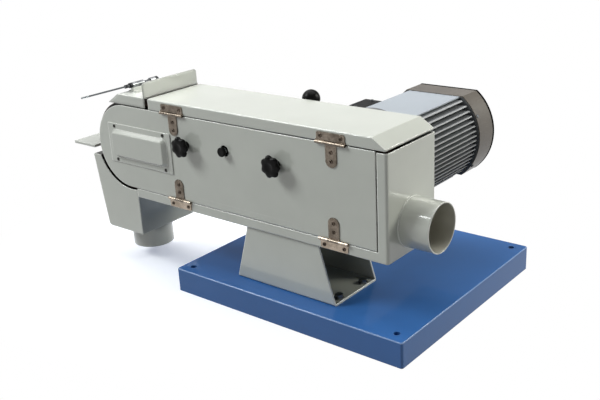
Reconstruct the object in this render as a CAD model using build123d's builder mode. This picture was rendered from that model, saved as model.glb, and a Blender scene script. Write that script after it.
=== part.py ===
from build123d import *
import os
from math import cos, radians, sin

# Bench belt sander, in millimetres. The origin is the centre of the base plate's underside.
# +X runs from the contact wheel towards the rear spigot, -Y is the door side, +Y the motor side.

# Base plate
base_length = 600
base_width = 526
base_height = 55
base_sheet = 3
base_corner_radius = 5
base_edge_radius = 3
base_bolt_inset_x = 28
base_bolt_inset_y = 26
base_bolt_hole = 14
base_sleeve_diameter = 24

# Pedestal
pedestal_x = -21
pedestal_y = -143
pedestal_width = 146
pedestal_bottom_length = 265
pedestal_top_length = 188
pedestal_sheet = 4
pedestal_fold_radius = 5
pedestal_bolt_spacing_x = 238
pedestal_bolt_spacing_y = 84
housing_bolt_spacing_x = 130
housing_bolt_spacing_y = 84

# Housing, door and lid
housing_center_y = -138
housing_width = 166
housing_rear_x = 244
housing_bottom_z = 182.5
sheet = 2
bend_radius = 3
housing_corner_radius = 6
door_radius = 98
door_thickness = 3
door_rear_x = 219
door_seam = 1.5
door_side_gap = 3
wall_rise = 0.5
rear_wall_drop = 1.5
lid_seam = 1.8
lid_height = 24
lid_far_lift = 2
lid_front_gap = 12
lid_slope_top_x = 211
lid_rear_x = 241
lid_rear_lift = 1
lid_rear_flange = 3.2

# Extraction spigots
spigot_diameter = 100
spigot_wall = 2
rear_spigot_z = 243
rear_spigot_length = 66
chute_spigot_length = 56

# Spark chute
chute_front_top_ahead = 129
chute_front_top_z = 266
chute_front_bottom_ahead = 103
chute_bottom_z = 86
chute_rear_behind = 19
chute_gap = 9.5
chute_arc_shift = 2.5
chute_fold_radius = 8
chute_sill = 8

# Visor with its upright plate
visor_rear_behind = 78
visor_front_ahead = 11
visor_tip_ahead = 46
visor_seam = 3
visor_upright_z = 460.5
visor_upright_radius = 8
visor_lap = 26
visor_bolt_spacing = 50

# Eye shield
shield_pivot_behind = 8
shield_pivot_z = 442.5
shield_door_offset = 19.5
shield_slope = 15.3
shield_length = 201
shield_width = 84
shield_thickness = 4
shield_corner_radius = 10
shield_barrel_diameter = 12
shield_hinge_length = 69
shield_long_barrel = 34
shield_short_barrel = 15
shield_barrel_gap = 1
shield_rod_diameter = 6
shield_rod_overhang = 4
shield_foot_thickness = 3
shield_foot_width = 26
shield_web_thickness = 9
shield_clamp_length = 11
shield_clamp_width = 12
shield_clamp_jaw = 2
shield_clamp_floor = 4
shield_clamp_start = 8.5
shield_lug_length = 6

# Work rest
rest_front_ahead = 199
rest_length = 77
rest_top_z = 288
rest_thickness = 6
rest_bracket_thickness = 6
rest_riser_inset = 15
rest_riser_length = 50
rest_bar_z = 218
rest_bar_height = 40
rest_bar_ahead = 39
rest_bolt_ahead = 106
rest_bolt_spacing = 32
rest_travel_out = 20
rest_travel_in = 15

# Wheels and belt
axis_z = 302.5
contact_x = -476
drive_x = 98
contact_diameter = 206
drive_diameter = 180
belt_width = 150
belt_thickness = 1.2
belt_gap = 0.5
tyre_thickness = 8
rim_thickness = 10
web_thickness = 20
web_hole_count = 5
web_hole_diameter = 26
contact_hub_diameter = 76
contact_hub_length = 110
contact_axle_diameter = 25
contact_bearing_diameter = 52
contact_bearing_width = 15
spacer_diameter = 34
axle_head_flats = 30
axle_head_height = 4
drive_hub_diameter = 64
drive_hub_length = 54
drive_hub_overhang = 1
drive_washer_diameter = 40
drive_washer_thickness = 3
drive_screw_length = 28
key_width = 8
key_height = 7.3
key_depth = 10
key_inset = 8

# Tension fork, guide, spring and lever
arm_height = 44
arm_thickness = 10
slide_thickness = 12
arm_side_gap = 2.5
arm_front_length = 24
arm_corner_radius = 12
arm_overlap = 10
crossbar_gap = 11
crossbar_thickness = 20
tension_travel = 6
lever_x = -84
lever_rise = 10.5
lever_half_swing = 30
crank_pin_diameter = 8
crank_pin_play = 0.4
crank_disc_radius = 14
crank_disc_thickness = 6
lever_shaft_diameter = 14
lever_hub_diameter = 26
lever_hub_length = 13.5
lever_rod_diameter = 10
ball_diameter = 40
ball_socket_depth = 14
ball_x = -78
ball_z = 420
window_margin = 2.5
guide_wall = 7
guide_end_wall = 4
guide_rim = 14
guide_bolt_ahead = 14
guide_bolt_rear_x = -150
spring_diameter = 28
spring_wire = 4
spring_seat_length = 36
spring_seat_width = 36
spring_seat_bottom_z = 286
spring_seat_top_z = 357
spring_pin_diameter = 16
spring_pin_end_gap = 4

# Platen
platen_front_behind = 121
platen_rear_x = -20
platen_thickness = 8
platen_pad_thickness = 2
platen_bracket_width = 50
platen_bracket_drop = 32
platen_bracket_thickness = 6
platen_bracket_reach = 110
platen_bracket_inset = 55
platen_bracket_rear_inset = 65

# Raised cover on the door
cover_behind = 47
cover_z = 308
cover_flange_length = 210
cover_flange_height = 94
cover_flange_radius = 3
cover_length = 186
cover_height = 69
cover_corner_radius = 15
cover_depth = 12
cover_draft = 34
cover_opening_margin = 5
cover_screw_spacing_x = 164
cover_screw_spacing_z = 80.5

# Star knobs, their posts and the tracking knob
star_knob_front_behind = 202.2
star_knob_rear_x = -16.5
star_knob_z = 337.4
star_knob_diameter = 48
star_core_diameter = 41
star_knob_lobes = 7
star_lobe_diameter = 14
star_lobe_blend = 2
star_knob_thickness = 12
star_knob_edge_radius = 3
star_collar_diameter = 18
star_collar_length = 14
stud_diameter = 8
stud_reach = 12
stud_play = 0.3
post_diameter = 22
post_hole_diameter = 12
post_hole_depth = 22
tracking_x = -160
tracking_z = 341.7
tracking_post_diameter = 16
tracking_post_out = 4
tracking_knob_diameter = 20
tracking_knob_length = 8
tracking_knob_chamfer = 1
tracking_spindle_diameter = 9
tracking_spindle_length = 40
tracking_door_hole = 24

# T-hinges
hinge_front_behind = 166
hinge_rear_x = 120
hinge_thickness = 1.8
hinge_barrel_diameter = 6.5
hinge_barrel_length = 70
hinge_middle_length = 26
hinge_knuckle_gap = 0.3
hinge_pin_diameter = 3.5
hinge_pin_overhang = 1
hinge_plate_start = 3.9
hinge_leaf_width = 66
hinge_leaf_height = 16
hinge_leaf_corner_radius = 4
hinge_leaf_screw_spacing = 48
hinge_strap_width = 26
hinge_strap_length = 48
hinge_strap_tip_radius = 12
hinge_strap_screw_near = 18
hinge_strap_screw_far = 36

# Motor
motor_radius = 109
motor_core_radius = 92
motor_bore_radius = 80
motor_flat = 88.5
motor_top_plate_thickness = 3
motor_flange_thickness = 14
motor_end_y = 188
motor_fin_pitch = 10.4
motor_fin_thickness = 2.2
motor_fin_setback = 5
level_fin_top = 81
level_fin_count = 16
upright_fin_count = 11
motor_bolt_circle = 130
cowl_radius = 114.5
cowl_flat = 90
cowl_wall = 2
cowl_end_y = 254
cowl_slot_count = 28
cowl_slot_length = 42
cowl_slot_width = 6
cowl_slot_circle = 130
cowl_screw_inset = 6
cowl_screw_angles = (25, 155, 215, 325)
end_shield_thickness = 12
bearing_boss_wall = 10
bearing_lip = 3
motor_bearing_radius = 31
motor_bearing_width = 16
stator_bore_radius = 50
stator_length = 110
winding_length = 22
winding_inner_radius = 54
winding_outer_radius = 76
air_gap = 0.5
shaft_radius = 15
shaft_end_radius = 14
shaft_fan_radius = 12
fan_radius = 84
fan_hub_radius = 24
fan_disc_thickness = 4
fan_blade_count = 9
fan_blade_thickness = 3
fan_width = 30
fan_gap = 5
cast_root = 1

# Terminal box on the motor
box_left_x = -40
box_right_x = 30
box_near_y = 15
box_far_y = 90
box_bottom_z = 335
box_top_z = 396
box_wall = 3
box_bevel = 22
box_lid_thickness = 4
box_boss = 12
gland_flats = 22
gland_nut_height = 8
gland_diameter = 18
gland_length = 18
gland_bore = 9
gland_inset = 14

# Clearances and fasteners
running_clearance = 0.05
hole_clearance = 0.1
side_clearance = 0.3
bond_gap = 0.02
m5 = 5
m8 = 8
m10 = 10
screw_head_diameter = 8
screw_head_height = 2.2
screw_head_taper = 20
hex_half_flats = 0.8
hex_head_height = 0.65
washer_half_width = 1.1
washer_thickness = 2

# Planes and levels that the pieces share
near_face = housing_center_y - housing_width / 2
far_face = housing_center_y + housing_width / 2
near_inner = near_face + sheet
far_inner = far_face - sheet
door_inner = near_face + door_thickness
door_bottom = axis_z - door_radius
door_top = axis_z + door_radius
lip_top = door_bottom - door_seam
wall_top = door_top + wall_rise
rear_wall_top = door_top - rear_wall_drop
lid_bottom = door_top + lid_seam
lid_top = lid_bottom + lid_height
contact_radius = contact_diameter / 2
drive_radius = drive_diameter / 2
drive_z = axis_z + contact_radius - drive_radius
belt_near = housing_center_y - belt_width / 2
belt_far = housing_center_y + belt_width / 2

# Places at the front end, which keep their distances to the contact wheel's axis
chute_front_top_x = contact_x - chute_front_top_ahead
chute_front_bottom_x = contact_x - chute_front_bottom_ahead
chute_rear_x = contact_x + chute_rear_behind
visor_rear_x = contact_x + visor_rear_behind
visor_front_x = contact_x - visor_front_ahead
visor_tip_x = contact_x - visor_tip_ahead
lid_front_x = visor_rear_x + lid_front_gap
shield_pivot_x = contact_x + shield_pivot_behind
rest_front_x = contact_x - rest_front_ahead
rest_rear_x = rest_front_x + rest_length
rest_riser_front_x = rest_front_x + rest_riser_inset
rest_riser_rear_x = rest_riser_front_x + rest_riser_length
rest_bar_rear_x = contact_x - rest_bar_ahead
rest_bolt_front_x = contact_x - rest_bolt_ahead
rest_bolt_rear_x = rest_bolt_front_x + rest_bolt_spacing
crossbar_front_x = contact_x + contact_radius + crossbar_gap
crossbar_rear_x = crossbar_front_x + crossbar_thickness
guide_bolt_front_x = contact_x - guide_bolt_ahead
platen_front_x = contact_x + platen_front_behind
platen_bracket_front_x = platen_front_x + platen_bracket_inset
platen_bracket_rear_x = platen_rear_x - platen_bracket_rear_inset
cover_x = contact_x + cover_behind
star_knob_front_x = contact_x + star_knob_front_behind
hinge_front_x = contact_x + hinge_front_behind

os.makedirs("parts", exist_ok=True)


def side_plane(y):
    """Upright plane at one depth, with X and Z as its axes; it faces the door side."""
    return Plane.XZ.offset(-y)


def axis_plane(x, y, z):
    """Upright plane like side_plane, with its origin on a wheel, knob or screw axis."""
    return Plane(origin=(x, y, z), x_dir=(1, 0, 0), z_dir=(0, -1, 0))


def block(x_low, x_high, y_low, y_high, z_low, z_high, mode=Mode.ADD):
    """Rectangular block between two corners, joined to the part being built."""
    center = ((x_low + x_high) / 2, (y_low + y_high) / 2, (z_low + z_high) / 2)
    with Locations(center):
        Box(x_high - x_low, y_high - y_low, z_high - z_low, mode=mode)


def tube_y(x, z, y_low, y_high, outer, inner=0, mode=Mode.ADD):
    """Round bar or tube along Y, by its radii."""
    with BuildSketch(axis_plane(x, y_high, z)) as ring:
        Circle(outer)
        if inner > 0:
            Circle(inner, mode=Mode.SUBTRACT)
    extrude(ring.sketch, amount=y_high - y_low, mode=mode)


def tube_x(y, z, x_low, x_high, outer, inner=0, mode=Mode.ADD):
    """Round bar or tube along X, by its radii."""
    with BuildSketch(Plane(origin=(x_low, y, z), x_dir=(0, 1, 0), z_dir=(1, 0, 0))) as ring:
        Circle(outer)
        if inner > 0:
            Circle(inner, mode=Mode.SUBTRACT)
    extrude(ring.sketch, amount=x_high - x_low, mode=mode)


def tube_z(x, y, z_low, z_high, outer, inner=0, mode=Mode.ADD):
    """Round bar or tube along Z, by its radii."""
    with BuildSketch(Plane(origin=(x, y, z_low))) as ring:
        Circle(outer)
        if inner > 0:
            Circle(inner, mode=Mode.SUBTRACT)
    extrude(ring.sketch, amount=z_high - z_low, mode=mode)


def hex_bolt(seat, size, length):
    """Hexagon bolt whose head stands on the seat plane and whose shank runs below it."""
    with BuildSketch(seat) as head:
        RegularPolygon(size * hex_half_flats, 6, major_radius=False)
    extrude(head.sketch, amount=size * hex_head_height)
    with BuildSketch(seat) as shank:
        Circle(size / 2)
    extrude(shank.sketch, amount=-length)


def hex_nut(seat, size):
    """Hexagon nut standing on the seat plane."""
    with BuildSketch(seat) as nut:
        RegularPolygon(size * hex_half_flats, 6, major_radius=False)
        Circle(size / 2 + hole_clearance, mode=Mode.SUBTRACT)
    extrude(nut.sketch, amount=size * hex_half_flats)


def washer(seat, size):
    """Flat washer on the seat plane."""
    with BuildSketch(seat) as ring:
        Circle(size * washer_half_width)
        Circle(size / 2 + hole_clearance, mode=Mode.SUBTRACT)
    extrude(ring.sketch, amount=washer_thickness)


def pan_screw(seat, length):
    """Small screw on the seat plane, with a low tapered head and a plain shank."""
    with BuildSketch(seat) as head:
        Circle(screw_head_diameter / 2)
    extrude(head.sketch, amount=screw_head_height, taper=screw_head_taper)
    with BuildSketch(seat) as shank:
        Circle(m5 / 2)
    extrude(shank.sketch, amount=-length)


def grid(x, y, spacing_x, spacing_y):
    """Four points round a centre, as the corners of a rectangle."""
    return [(x + i * spacing_x / 2, y + j * spacing_y / 2) for i in (-1, 1) for j in (-1, 1)]


def flat_sided_disc(radius, flat):
    """Disc with a flat across its top and its bottom, drawn in the sketch that is open."""
    Circle(radius)
    Rectangle(2 * radius, 2 * flat, mode=Mode.INTERSECT)


# Base plate: a folded sheet pan with a welded sleeve under each bolt hole
base_hole_spacing_x = base_length - 2 * base_bolt_inset_x
base_hole_spacing_y = base_width - 2 * base_bolt_inset_y
base_holes = grid(0, 0, base_hole_spacing_x, base_hole_spacing_y)
pedestal_bolts_at = grid(pedestal_x, pedestal_y, pedestal_bolt_spacing_x, pedestal_bolt_spacing_y)
base_inner_radius = max(base_corner_radius - base_sheet, bond_gap)
with BuildPart() as base_plate:
    with BuildSketch():
        RectangleRounded(base_length, base_width, base_corner_radius)
    extrude(amount=base_height)
    fillet(base_plate.faces().sort_by(Axis.Z)[-1].edges(), base_edge_radius)
    with BuildSketch():
        RectangleRounded(
            base_length - 2 * base_sheet, base_width - 2 * base_sheet, base_inner_radius
        )
    extrude(amount=base_height - base_sheet, mode=Mode.SUBTRACT)
    with BuildSketch():
        with Locations(*base_holes):
            Circle(base_sleeve_diameter / 2)
    extrude(amount=base_height - base_sheet)
    with BuildSketch():
        with Locations(*base_holes):
            Circle(base_bolt_hole / 2)
        with Locations(*pedestal_bolts_at):
            Circle(m10 / 2 + hole_clearance)
    extrude(amount=base_height, mode=Mode.SUBTRACT)
base_plate.part.label = "base_plate"
export_step(base_plate.part, "parts/base_plate.step")

# Pedestal: a folded trapezoid sleeve, open at both ends
pedestal_near = pedestal_y - pedestal_width / 2
pedestal_far = pedestal_y + pedestal_width / 2
pedestal_floor_z = base_height + pedestal_sheet
pedestal_roof_z = housing_bottom_z - pedestal_sheet
housing_bolts_at = grid(pedestal_x, pedestal_y, housing_bolt_spacing_x, housing_bolt_spacing_y)
with BuildPart() as pedestal:
    with BuildSketch(side_plane(pedestal_far)):
        with BuildLine():
            Polyline(
                (pedestal_x - pedestal_bottom_length / 2, base_height),
                (pedestal_x + pedestal_bottom_length / 2, base_height),
                (pedestal_x + pedestal_top_length / 2, housing_bottom_z),
                (pedestal_x - pedestal_top_length / 2, housing_bottom_z),
                close=True,
            )
        make_face()
    extrude(amount=pedestal_width)
    fillet(pedestal.edges().filter_by(Axis.X), pedestal_fold_radius)
    block(
        pedestal_x - pedestal_bottom_length,
        pedestal_x + pedestal_bottom_length,
        pedestal_near + pedestal_sheet,
        pedestal_far - pedestal_sheet,
        pedestal_floor_z,
        pedestal_roof_z,
        Mode.SUBTRACT,
    )
    for x, y in pedestal_bolts_at:
        tube_z(x, y, base_height, pedestal_floor_z, m10 / 2 + hole_clearance, mode=Mode.SUBTRACT)
    for x, y in housing_bolts_at:
        tube_z(x, y, pedestal_roof_z, housing_bottom_z, m10 / 2 + hole_clearance, mode=Mode.SUBTRACT)
pedestal.part.label = "pedestal"
export_step(pedestal.part, "parts/pedestal.step")

# Pedestal bolts with washers and nuts: four into the base plate, four into the housing floor
washer_top = pedestal_floor_z + washer_thickness + bond_gap
base_bolt_length = washer_top - base_height + base_sheet + m10 * hex_half_flats
housing_bolt_length = sheet + pedestal_sheet + m10 * hex_half_flats
with BuildPart() as pedestal_bolts:
    for x, y in pedestal_bolts_at:
        washer(Plane(origin=(x, y, pedestal_floor_z)), m10)
        hex_bolt(Plane(origin=(x, y, washer_top)), m10, base_bolt_length)
        hex_nut(Plane(origin=(x, y, base_height - base_sheet), z_dir=(0, 0, -1)), m10)
    for x, y in housing_bolts_at:
        hex_bolt(Plane(origin=(x, y, housing_bottom_z + sheet)), m10, housing_bolt_length)
        hex_nut(Plane(origin=(x, y, pedestal_roof_z), z_dir=(0, 0, -1)), m10)
pedestal_bolts.part.label = "pedestal_bolts"
export_step(pedestal_bolts.part, "parts/pedestal_bolts.step")

# Places on the motor-side wall: fork window, crank hole and the bolts of what hangs on the wall
arm_near_inner = belt_near - arm_side_gap
arm_near_outer = arm_near_inner - arm_thickness
arm_far_inner = belt_far + arm_side_gap
arm_far_outer = arm_far_inner + slide_thickness
arm_low = axis_z - arm_height / 2
arm_high = axis_z + arm_height / 2
arm_front_x = contact_x - arm_front_length
arm_rear_x = crossbar_front_x + arm_overlap
slide_rear_x = lever_x + crank_disc_radius
lever_z = axis_z + lever_rise
window_front_x = arm_front_x - tension_travel
window_rear_x = slide_rear_x + 2 * tension_travel
guide_low = arm_low - side_clearance - guide_rim
guide_high = arm_high + side_clearance + guide_rim
guide_bolts_at = [
    (x, z)
    for x in (guide_bolt_front_x, guide_bolt_rear_x)
    for z in (guide_low + guide_rim / 2, guide_high - guide_rim / 2)
]
pad_top = axis_z + contact_radius + belt_gap - side_clearance
platen_top = pad_top - platen_pad_thickness
platen_bottom = platen_top - platen_thickness
bracket_bottom = platen_bottom - platen_bracket_drop
bracket_bolt_z = bracket_bottom + m8 * washer_half_width
bracket_bolts_at = [
    (x + i * platen_bracket_width / 4, bracket_bolt_z)
    for x in (platen_bracket_front_x, platen_bracket_rear_x)
    for i in (-1, 1)
]
visor_bolt_z = door_top - visor_lap / 2
visor_bolt_center = (visor_front_x + visor_rear_x) / 2
visor_bolts_at = [(visor_bolt_center + i * visor_bolt_spacing / 2, visor_bolt_z) for i in (-1, 1)]
motor_bolt_offset = motor_bolt_circle * sin(radians(45))
motor_bolts_at = grid(drive_x, drive_z, motor_bolt_offset, motor_bolt_offset)
motor_opening_radius = motor_bearing_radius + bearing_lip
hinge_xs = (hinge_front_x, hinge_rear_x)
lower_hinge_z = door_bottom - door_seam / 2
leaf_screw_rise = hinge_plate_start + hinge_leaf_height / 2
lower_leaf_screws_at = [
    (x + i * hinge_leaf_screw_spacing / 2, lower_hinge_z - leaf_screw_rise)
    for x in hinge_xs
    for i in (-1, 1)
]

# Housing: floor, near lip, near post, motor-side wall and rear end wall, welded from sheet
with BuildPart() as housing:
    block(chute_rear_x, housing_rear_x, near_face, far_face, housing_bottom_z, housing_bottom_z + sheet)
    block(chute_rear_x, housing_rear_x, near_face, near_inner, housing_bottom_z, lip_top)
    block(
        door_rear_x + door_side_gap,
        housing_rear_x,
        near_face,
        near_inner,
        housing_bottom_z,
        rear_wall_top,
    )
    block(
        housing_rear_x - sheet, housing_rear_x, near_face, far_face, housing_bottom_z, rear_wall_top
    )
    with BuildSketch(side_plane(far_face)):
        with BuildLine():
            Polyline(
                (chute_rear_x, housing_bottom_z),
                (housing_rear_x, housing_bottom_z),
                (housing_rear_x, rear_wall_top),
                (lid_slope_top_x, wall_top),
                (contact_x, wall_top),
                (contact_x, door_bottom),
                (chute_rear_x, door_bottom),
                close=True,
            )
        make_face()
        with Locations((contact_x, axis_z)):
            Circle(door_radius)
        with Locations((drive_x, drive_z)):
            Circle(motor_opening_radius, mode=Mode.SUBTRACT)
        with Locations(((window_front_x + window_rear_x) / 2, axis_z)):
            Rectangle(
                window_rear_x - window_front_x, arm_height + 2 * window_margin, mode=Mode.SUBTRACT
            )
        with Locations((lever_x, lever_z)):
            Circle(crank_disc_radius + window_margin, mode=Mode.SUBTRACT)
        with Locations(*motor_bolts_at, *guide_bolts_at, *bracket_bolts_at, *visor_bolts_at):
            Circle(m8 / 2 + hole_clearance, mode=Mode.SUBTRACT)
    extrude(amount=sheet)
    for x, y in housing_bolts_at:
        hole_top = housing_bottom_z + sheet
        tube_z(x, y, housing_bottom_z, hole_top, m10 / 2 + hole_clearance, mode=Mode.SUBTRACT)
    for x, z in lower_leaf_screws_at:
        tube_y(x, z, near_face, near_inner, m5 / 2 + hole_clearance, mode=Mode.SUBTRACT)
    tube_x(
        housing_center_y,
        rear_spigot_z,
        housing_rear_x - sheet,
        housing_rear_x,
        spigot_diameter / 2 - spigot_wall,
        mode=Mode.SUBTRACT,
    )
    inner_corner = housing.edges().filter_by(Axis.Z).group_by(Axis.X)[-2].sort_by(Axis.Y)[0]
    fillet(inner_corner, housing_corner_radius - sheet)
    outer_corners = housing.edges().filter_by(Axis.Z).group_by(Axis.X)[-1].sort_by(Axis.Y)
    fillet(outer_corners[0], housing_corner_radius)
    fillet(outer_corners[-1], min(bend_radius, sheet - bond_gap))
housing.part.label = "housing"
export_step(housing.part, "parts/housing.step")

# Rear extraction spigot
with BuildPart() as rear_spigot:
    tube_x(
        housing_center_y,
        rear_spigot_z,
        housing_rear_x,
        housing_rear_x + rear_spigot_length,
        spigot_diameter / 2,
        spigot_diameter / 2 - spigot_wall,
    )
rear_spigot.part.label = "rear_spigot"
export_step(rear_spigot.part, "parts/rear_spigot.step")

# Spark chute: a welded box below the contact wheel, open towards the wheel
chute_spigot_x = (chute_front_bottom_x + chute_rear_x) / 2
chute_arc_radius = door_radius + chute_gap
rest_bolts_at = [(rest_bolt_front_x, rest_bar_z), (rest_bolt_rear_x, rest_bar_z)]
chute_corners = (
    (chute_rear_x, chute_bottom_z),
    (chute_rear_x, chute_front_top_z),
    (chute_front_top_x, chute_front_top_z),
    (chute_front_bottom_x, chute_bottom_z),
)
with BuildPart() as spark_chute:
    with BuildSketch(side_plane(far_face)):
        with BuildLine():
            Polyline(*chute_corners, close=True)
        make_face()
        with Locations((contact_x - chute_arc_shift, axis_z + chute_arc_shift)):
            Circle(chute_arc_radius, mode=Mode.SUBTRACT)
    extrude(amount=housing_width)
    lower_front_edge = spark_chute.edges().filter_by(Axis.Y).group_by(Axis.Z)[0].sort_by(Axis.X)[0]
    fillet(lower_front_edge, chute_fold_radius)
    with BuildSketch(side_plane(far_inner)) as chute_inside:
        with BuildLine():
            Polyline(*chute_corners, close=True)
        make_face()
        offset(amount=-sheet)
        inner_front_corner = chute_inside.vertices().group_by(Axis.Y)[0].sort_by(Axis.X)[0]
        fillet(inner_front_corner, chute_fold_radius - sheet)
    extrude(amount=housing_width - 2 * sheet, mode=Mode.SUBTRACT)
    block(
        chute_front_bottom_x,
        chute_rear_x,
        near_inner,
        far_inner,
        housing_bottom_z + chute_sill,
        chute_front_top_z,
        Mode.SUBTRACT,
    )
    tube_z(
        chute_spigot_x,
        housing_center_y,
        chute_bottom_z,
        chute_bottom_z + sheet,
        spigot_diameter / 2 - spigot_wall,
        mode=Mode.SUBTRACT,
    )
    for x, z in rest_bolts_at:
        tube_y(x, z, far_inner, far_face, m8 / 2 + hole_clearance, mode=Mode.SUBTRACT)
spark_chute.part.label = "spark_chute"
export_step(spark_chute.part, "parts/spark_chute.step")

# Chute spigot, pointing down
with BuildPart() as chute_spigot:
    tube_z(
        chute_spigot_x,
        housing_center_y,
        chute_bottom_z - chute_spigot_length,
        chute_bottom_z,
        spigot_diameter / 2,
        spigot_diameter / 2 - spigot_wall,
    )
chute_spigot.part.label = "chute_spigot"
export_step(chute_spigot.part, "parts/chute_spigot.step")

# Visor: one folded sheet over the contact wheel, with a slanted near flange, an upright plate
# at its rear edge and a far flange that laps the motor-side wall
visor_bottom = door_top + visor_seam
visor_lap_y = far_face + sheet
upright_height = visor_upright_z - lid_top + sheet
with BuildPart() as visor:
    with BuildSketch(side_plane(near_inner)):
        with BuildLine():
            Polyline(
                (visor_tip_x, visor_bottom),
                (visor_rear_x, visor_bottom),
                (visor_rear_x, lid_top),
                (visor_front_x, lid_top),
                close=True,
            )
        make_face()
    extrude(amount=sheet)
    block(visor_front_x, visor_rear_x, near_face, visor_lap_y, lid_top - sheet, lid_top)
    block(visor_front_x, visor_rear_x, far_face, visor_lap_y, door_top - visor_lap, lid_top)
    fillet(
        visor.edges().filter_by(Axis.X).group_by(Axis.Z)[-1].group_by(Axis.Y)[0],
        min(bend_radius, sheet - bond_gap),
    )
    with BuildSketch(Plane.YZ.offset(visor_rear_x - sheet)) as upright:
        with Locations((housing_center_y, visor_upright_z - upright_height / 2)):
            Rectangle(housing_width, upright_height)
        fillet(upright.vertices().group_by(Axis.Y)[-1], visor_upright_radius)
    extrude(amount=sheet)
    for x, z in visor_bolts_at:
        tube_y(x, z, far_face, visor_lap_y, m8 / 2 + hole_clearance, mode=Mode.SUBTRACT)
visor.part.label = "visor"
export_step(visor.part, "parts/visor.step")

# Eye shield hinge: a foot welded on the visor, with a long and a short plated barrel
barrel_radius = shield_barrel_diameter / 2
barrel_bore = shield_rod_diameter / 2 + running_clearance
shield_y = housing_center_y - shield_door_offset
foot_near = shield_y - shield_hinge_length / 2
foot_far = shield_y + shield_hinge_length / 2
foot_top = lid_top + shield_foot_thickness
long_barrel_end = foot_near + shield_long_barrel
short_barrel_start = foot_far - shield_short_barrel
with BuildPart() as shield_hinge:
    block(
        shield_pivot_x - shield_foot_width / 2,
        shield_pivot_x + shield_foot_width / 2,
        foot_near,
        foot_far,
        lid_top,
        foot_top,
    )
    for barrel_low, barrel_high in ((foot_near, long_barrel_end), (short_barrel_start, foot_far)):
        block(
            shield_pivot_x - shield_web_thickness / 2,
            shield_pivot_x + shield_web_thickness / 2,
            barrel_low,
            barrel_high,
            foot_top,
            shield_pivot_z,
        )
        tube_y(shield_pivot_x, shield_pivot_z, barrel_low, barrel_high, barrel_radius)
        tube_y(
            shield_pivot_x, shield_pivot_z, barrel_low, barrel_high, barrel_bore, mode=Mode.SUBTRACT
        )
shield_hinge.part.label = "shield_hinge"
export_step(shield_hinge.part, "parts/shield_hinge.step")

# Eye shield clamp: two slotted clips that hold the pane's corners, each with a lug on the rod
near_lug_start = foot_near - shield_barrel_gap - shield_lug_length
far_lug_end = foot_far + shield_barrel_gap + shield_lug_length
lug_spans = (
    (near_lug_start, near_lug_start + shield_lug_length),
    (far_lug_end - shield_lug_length, far_lug_end),
)
clip_spans = (
    (near_lug_start, near_lug_start + shield_clamp_width),
    (far_lug_end - shield_clamp_width, far_lug_end),
)
shield_tilt = Plane(
    origin=(shield_pivot_x, shield_y, shield_pivot_z),
    x_dir=(-cos(radians(shield_slope)), 0, -sin(radians(shield_slope))),
    z_dir=(-sin(radians(shield_slope)), 0, cos(radians(shield_slope))),
)
clamp_end = shield_clamp_start + shield_clamp_length
pane_start = shield_clamp_start + shield_clamp_floor
with BuildPart() as shield_clamp:
    with BuildSketch(shield_tilt.offset(-shield_thickness / 2 - shield_clamp_jaw)):
        for clip_low, clip_high in clip_spans:
            with Locations(((shield_clamp_start + clamp_end) / 2, shield_y - (clip_low + clip_high) / 2)):
                Rectangle(shield_clamp_length, clip_high - clip_low)
        for lug_low, lug_high in lug_spans:
            with Locations(((shield_clamp_start + bond_gap) / 2, shield_y - (lug_low + lug_high) / 2)):
                Rectangle(shield_clamp_start + bond_gap, lug_high - lug_low)
    extrude(amount=shield_thickness + 2 * shield_clamp_jaw)
    with BuildSketch(shield_tilt.offset(-shield_thickness / 2)):
        with Locations((pane_start + shield_clamp_length / 2, 0)):
            Rectangle(shield_clamp_length, shield_width)
    extrude(amount=shield_thickness, mode=Mode.SUBTRACT)
    for lug_low, lug_high in lug_spans:
        tube_y(shield_pivot_x, shield_pivot_z, lug_low, lug_high, barrel_radius)
        tube_y(shield_pivot_x, shield_pivot_z, lug_low, lug_high, barrel_bore, mode=Mode.SUBTRACT)
shield_clamp.part.label = "shield_clamp"
export_step(shield_clamp.part, "parts/shield_clamp.step")

# Eye shield rod, on which the clamp turns in the barrels
rod_near = near_lug_start - shield_rod_overhang
rod_far = far_lug_end + shield_rod_overhang
with BuildPart() as shield_rod:
    tube_y(shield_pivot_x, shield_pivot_z, rod_near, rod_far, shield_rod_diameter / 2)
shield_rod.part.label = "shield_rod"
export_step(shield_rod.part, "parts/shield_rod.step")

# Eye shield pane, glued in the clips
with BuildPart() as shield_pane:
    with BuildSketch(shield_tilt.offset(-shield_thickness / 2 + bond_gap)) as pane:
        with Locations(((pane_start + bond_gap + shield_length) / 2, 0)):
            Rectangle(shield_length - pane_start - bond_gap, shield_width)
        fillet(pane.vertices().group_by(Axis.X)[-1], shield_corner_radius)
    extrude(amount=shield_thickness - 2 * bond_gap)
shield_pane.part.label = "shield_pane"
export_step(shield_pane.part, "parts/shield_pane.step")

# Work rest: a plate across the belt on a slotted side bracket
bracket_near = far_face + side_clearance
bracket_far = bracket_near + rest_bracket_thickness
rest_bar_low = rest_bar_z - rest_bar_height / 2
rest_bar_high = rest_bar_z + rest_bar_height / 2
slot_front = rest_bolt_front_x - rest_travel_in
slot_rear = rest_bolt_rear_x + rest_travel_out
slot_height = m8 + 2 * side_clearance
with BuildPart() as work_rest:
    block(rest_front_x, rest_rear_x, near_face, bracket_far, rest_top_z - rest_thickness, rest_top_z)
    block(
        rest_riser_front_x,
        rest_riser_rear_x,
        bracket_near,
        bracket_far,
        rest_bar_low,
        rest_top_z - rest_thickness,
    )
    block(
        rest_riser_front_x, rest_bar_rear_x, bracket_near, bracket_far, rest_bar_low, rest_bar_high
    )
    with BuildSketch(axis_plane((slot_front + slot_rear) / 2, bracket_far, rest_bar_z)):
        SlotCenterToCenter(slot_rear - slot_front, slot_height)
    extrude(amount=rest_bracket_thickness, mode=Mode.SUBTRACT)
work_rest.part.label = "work_rest"
export_step(work_rest.part, "parts/work_rest.step")

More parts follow.
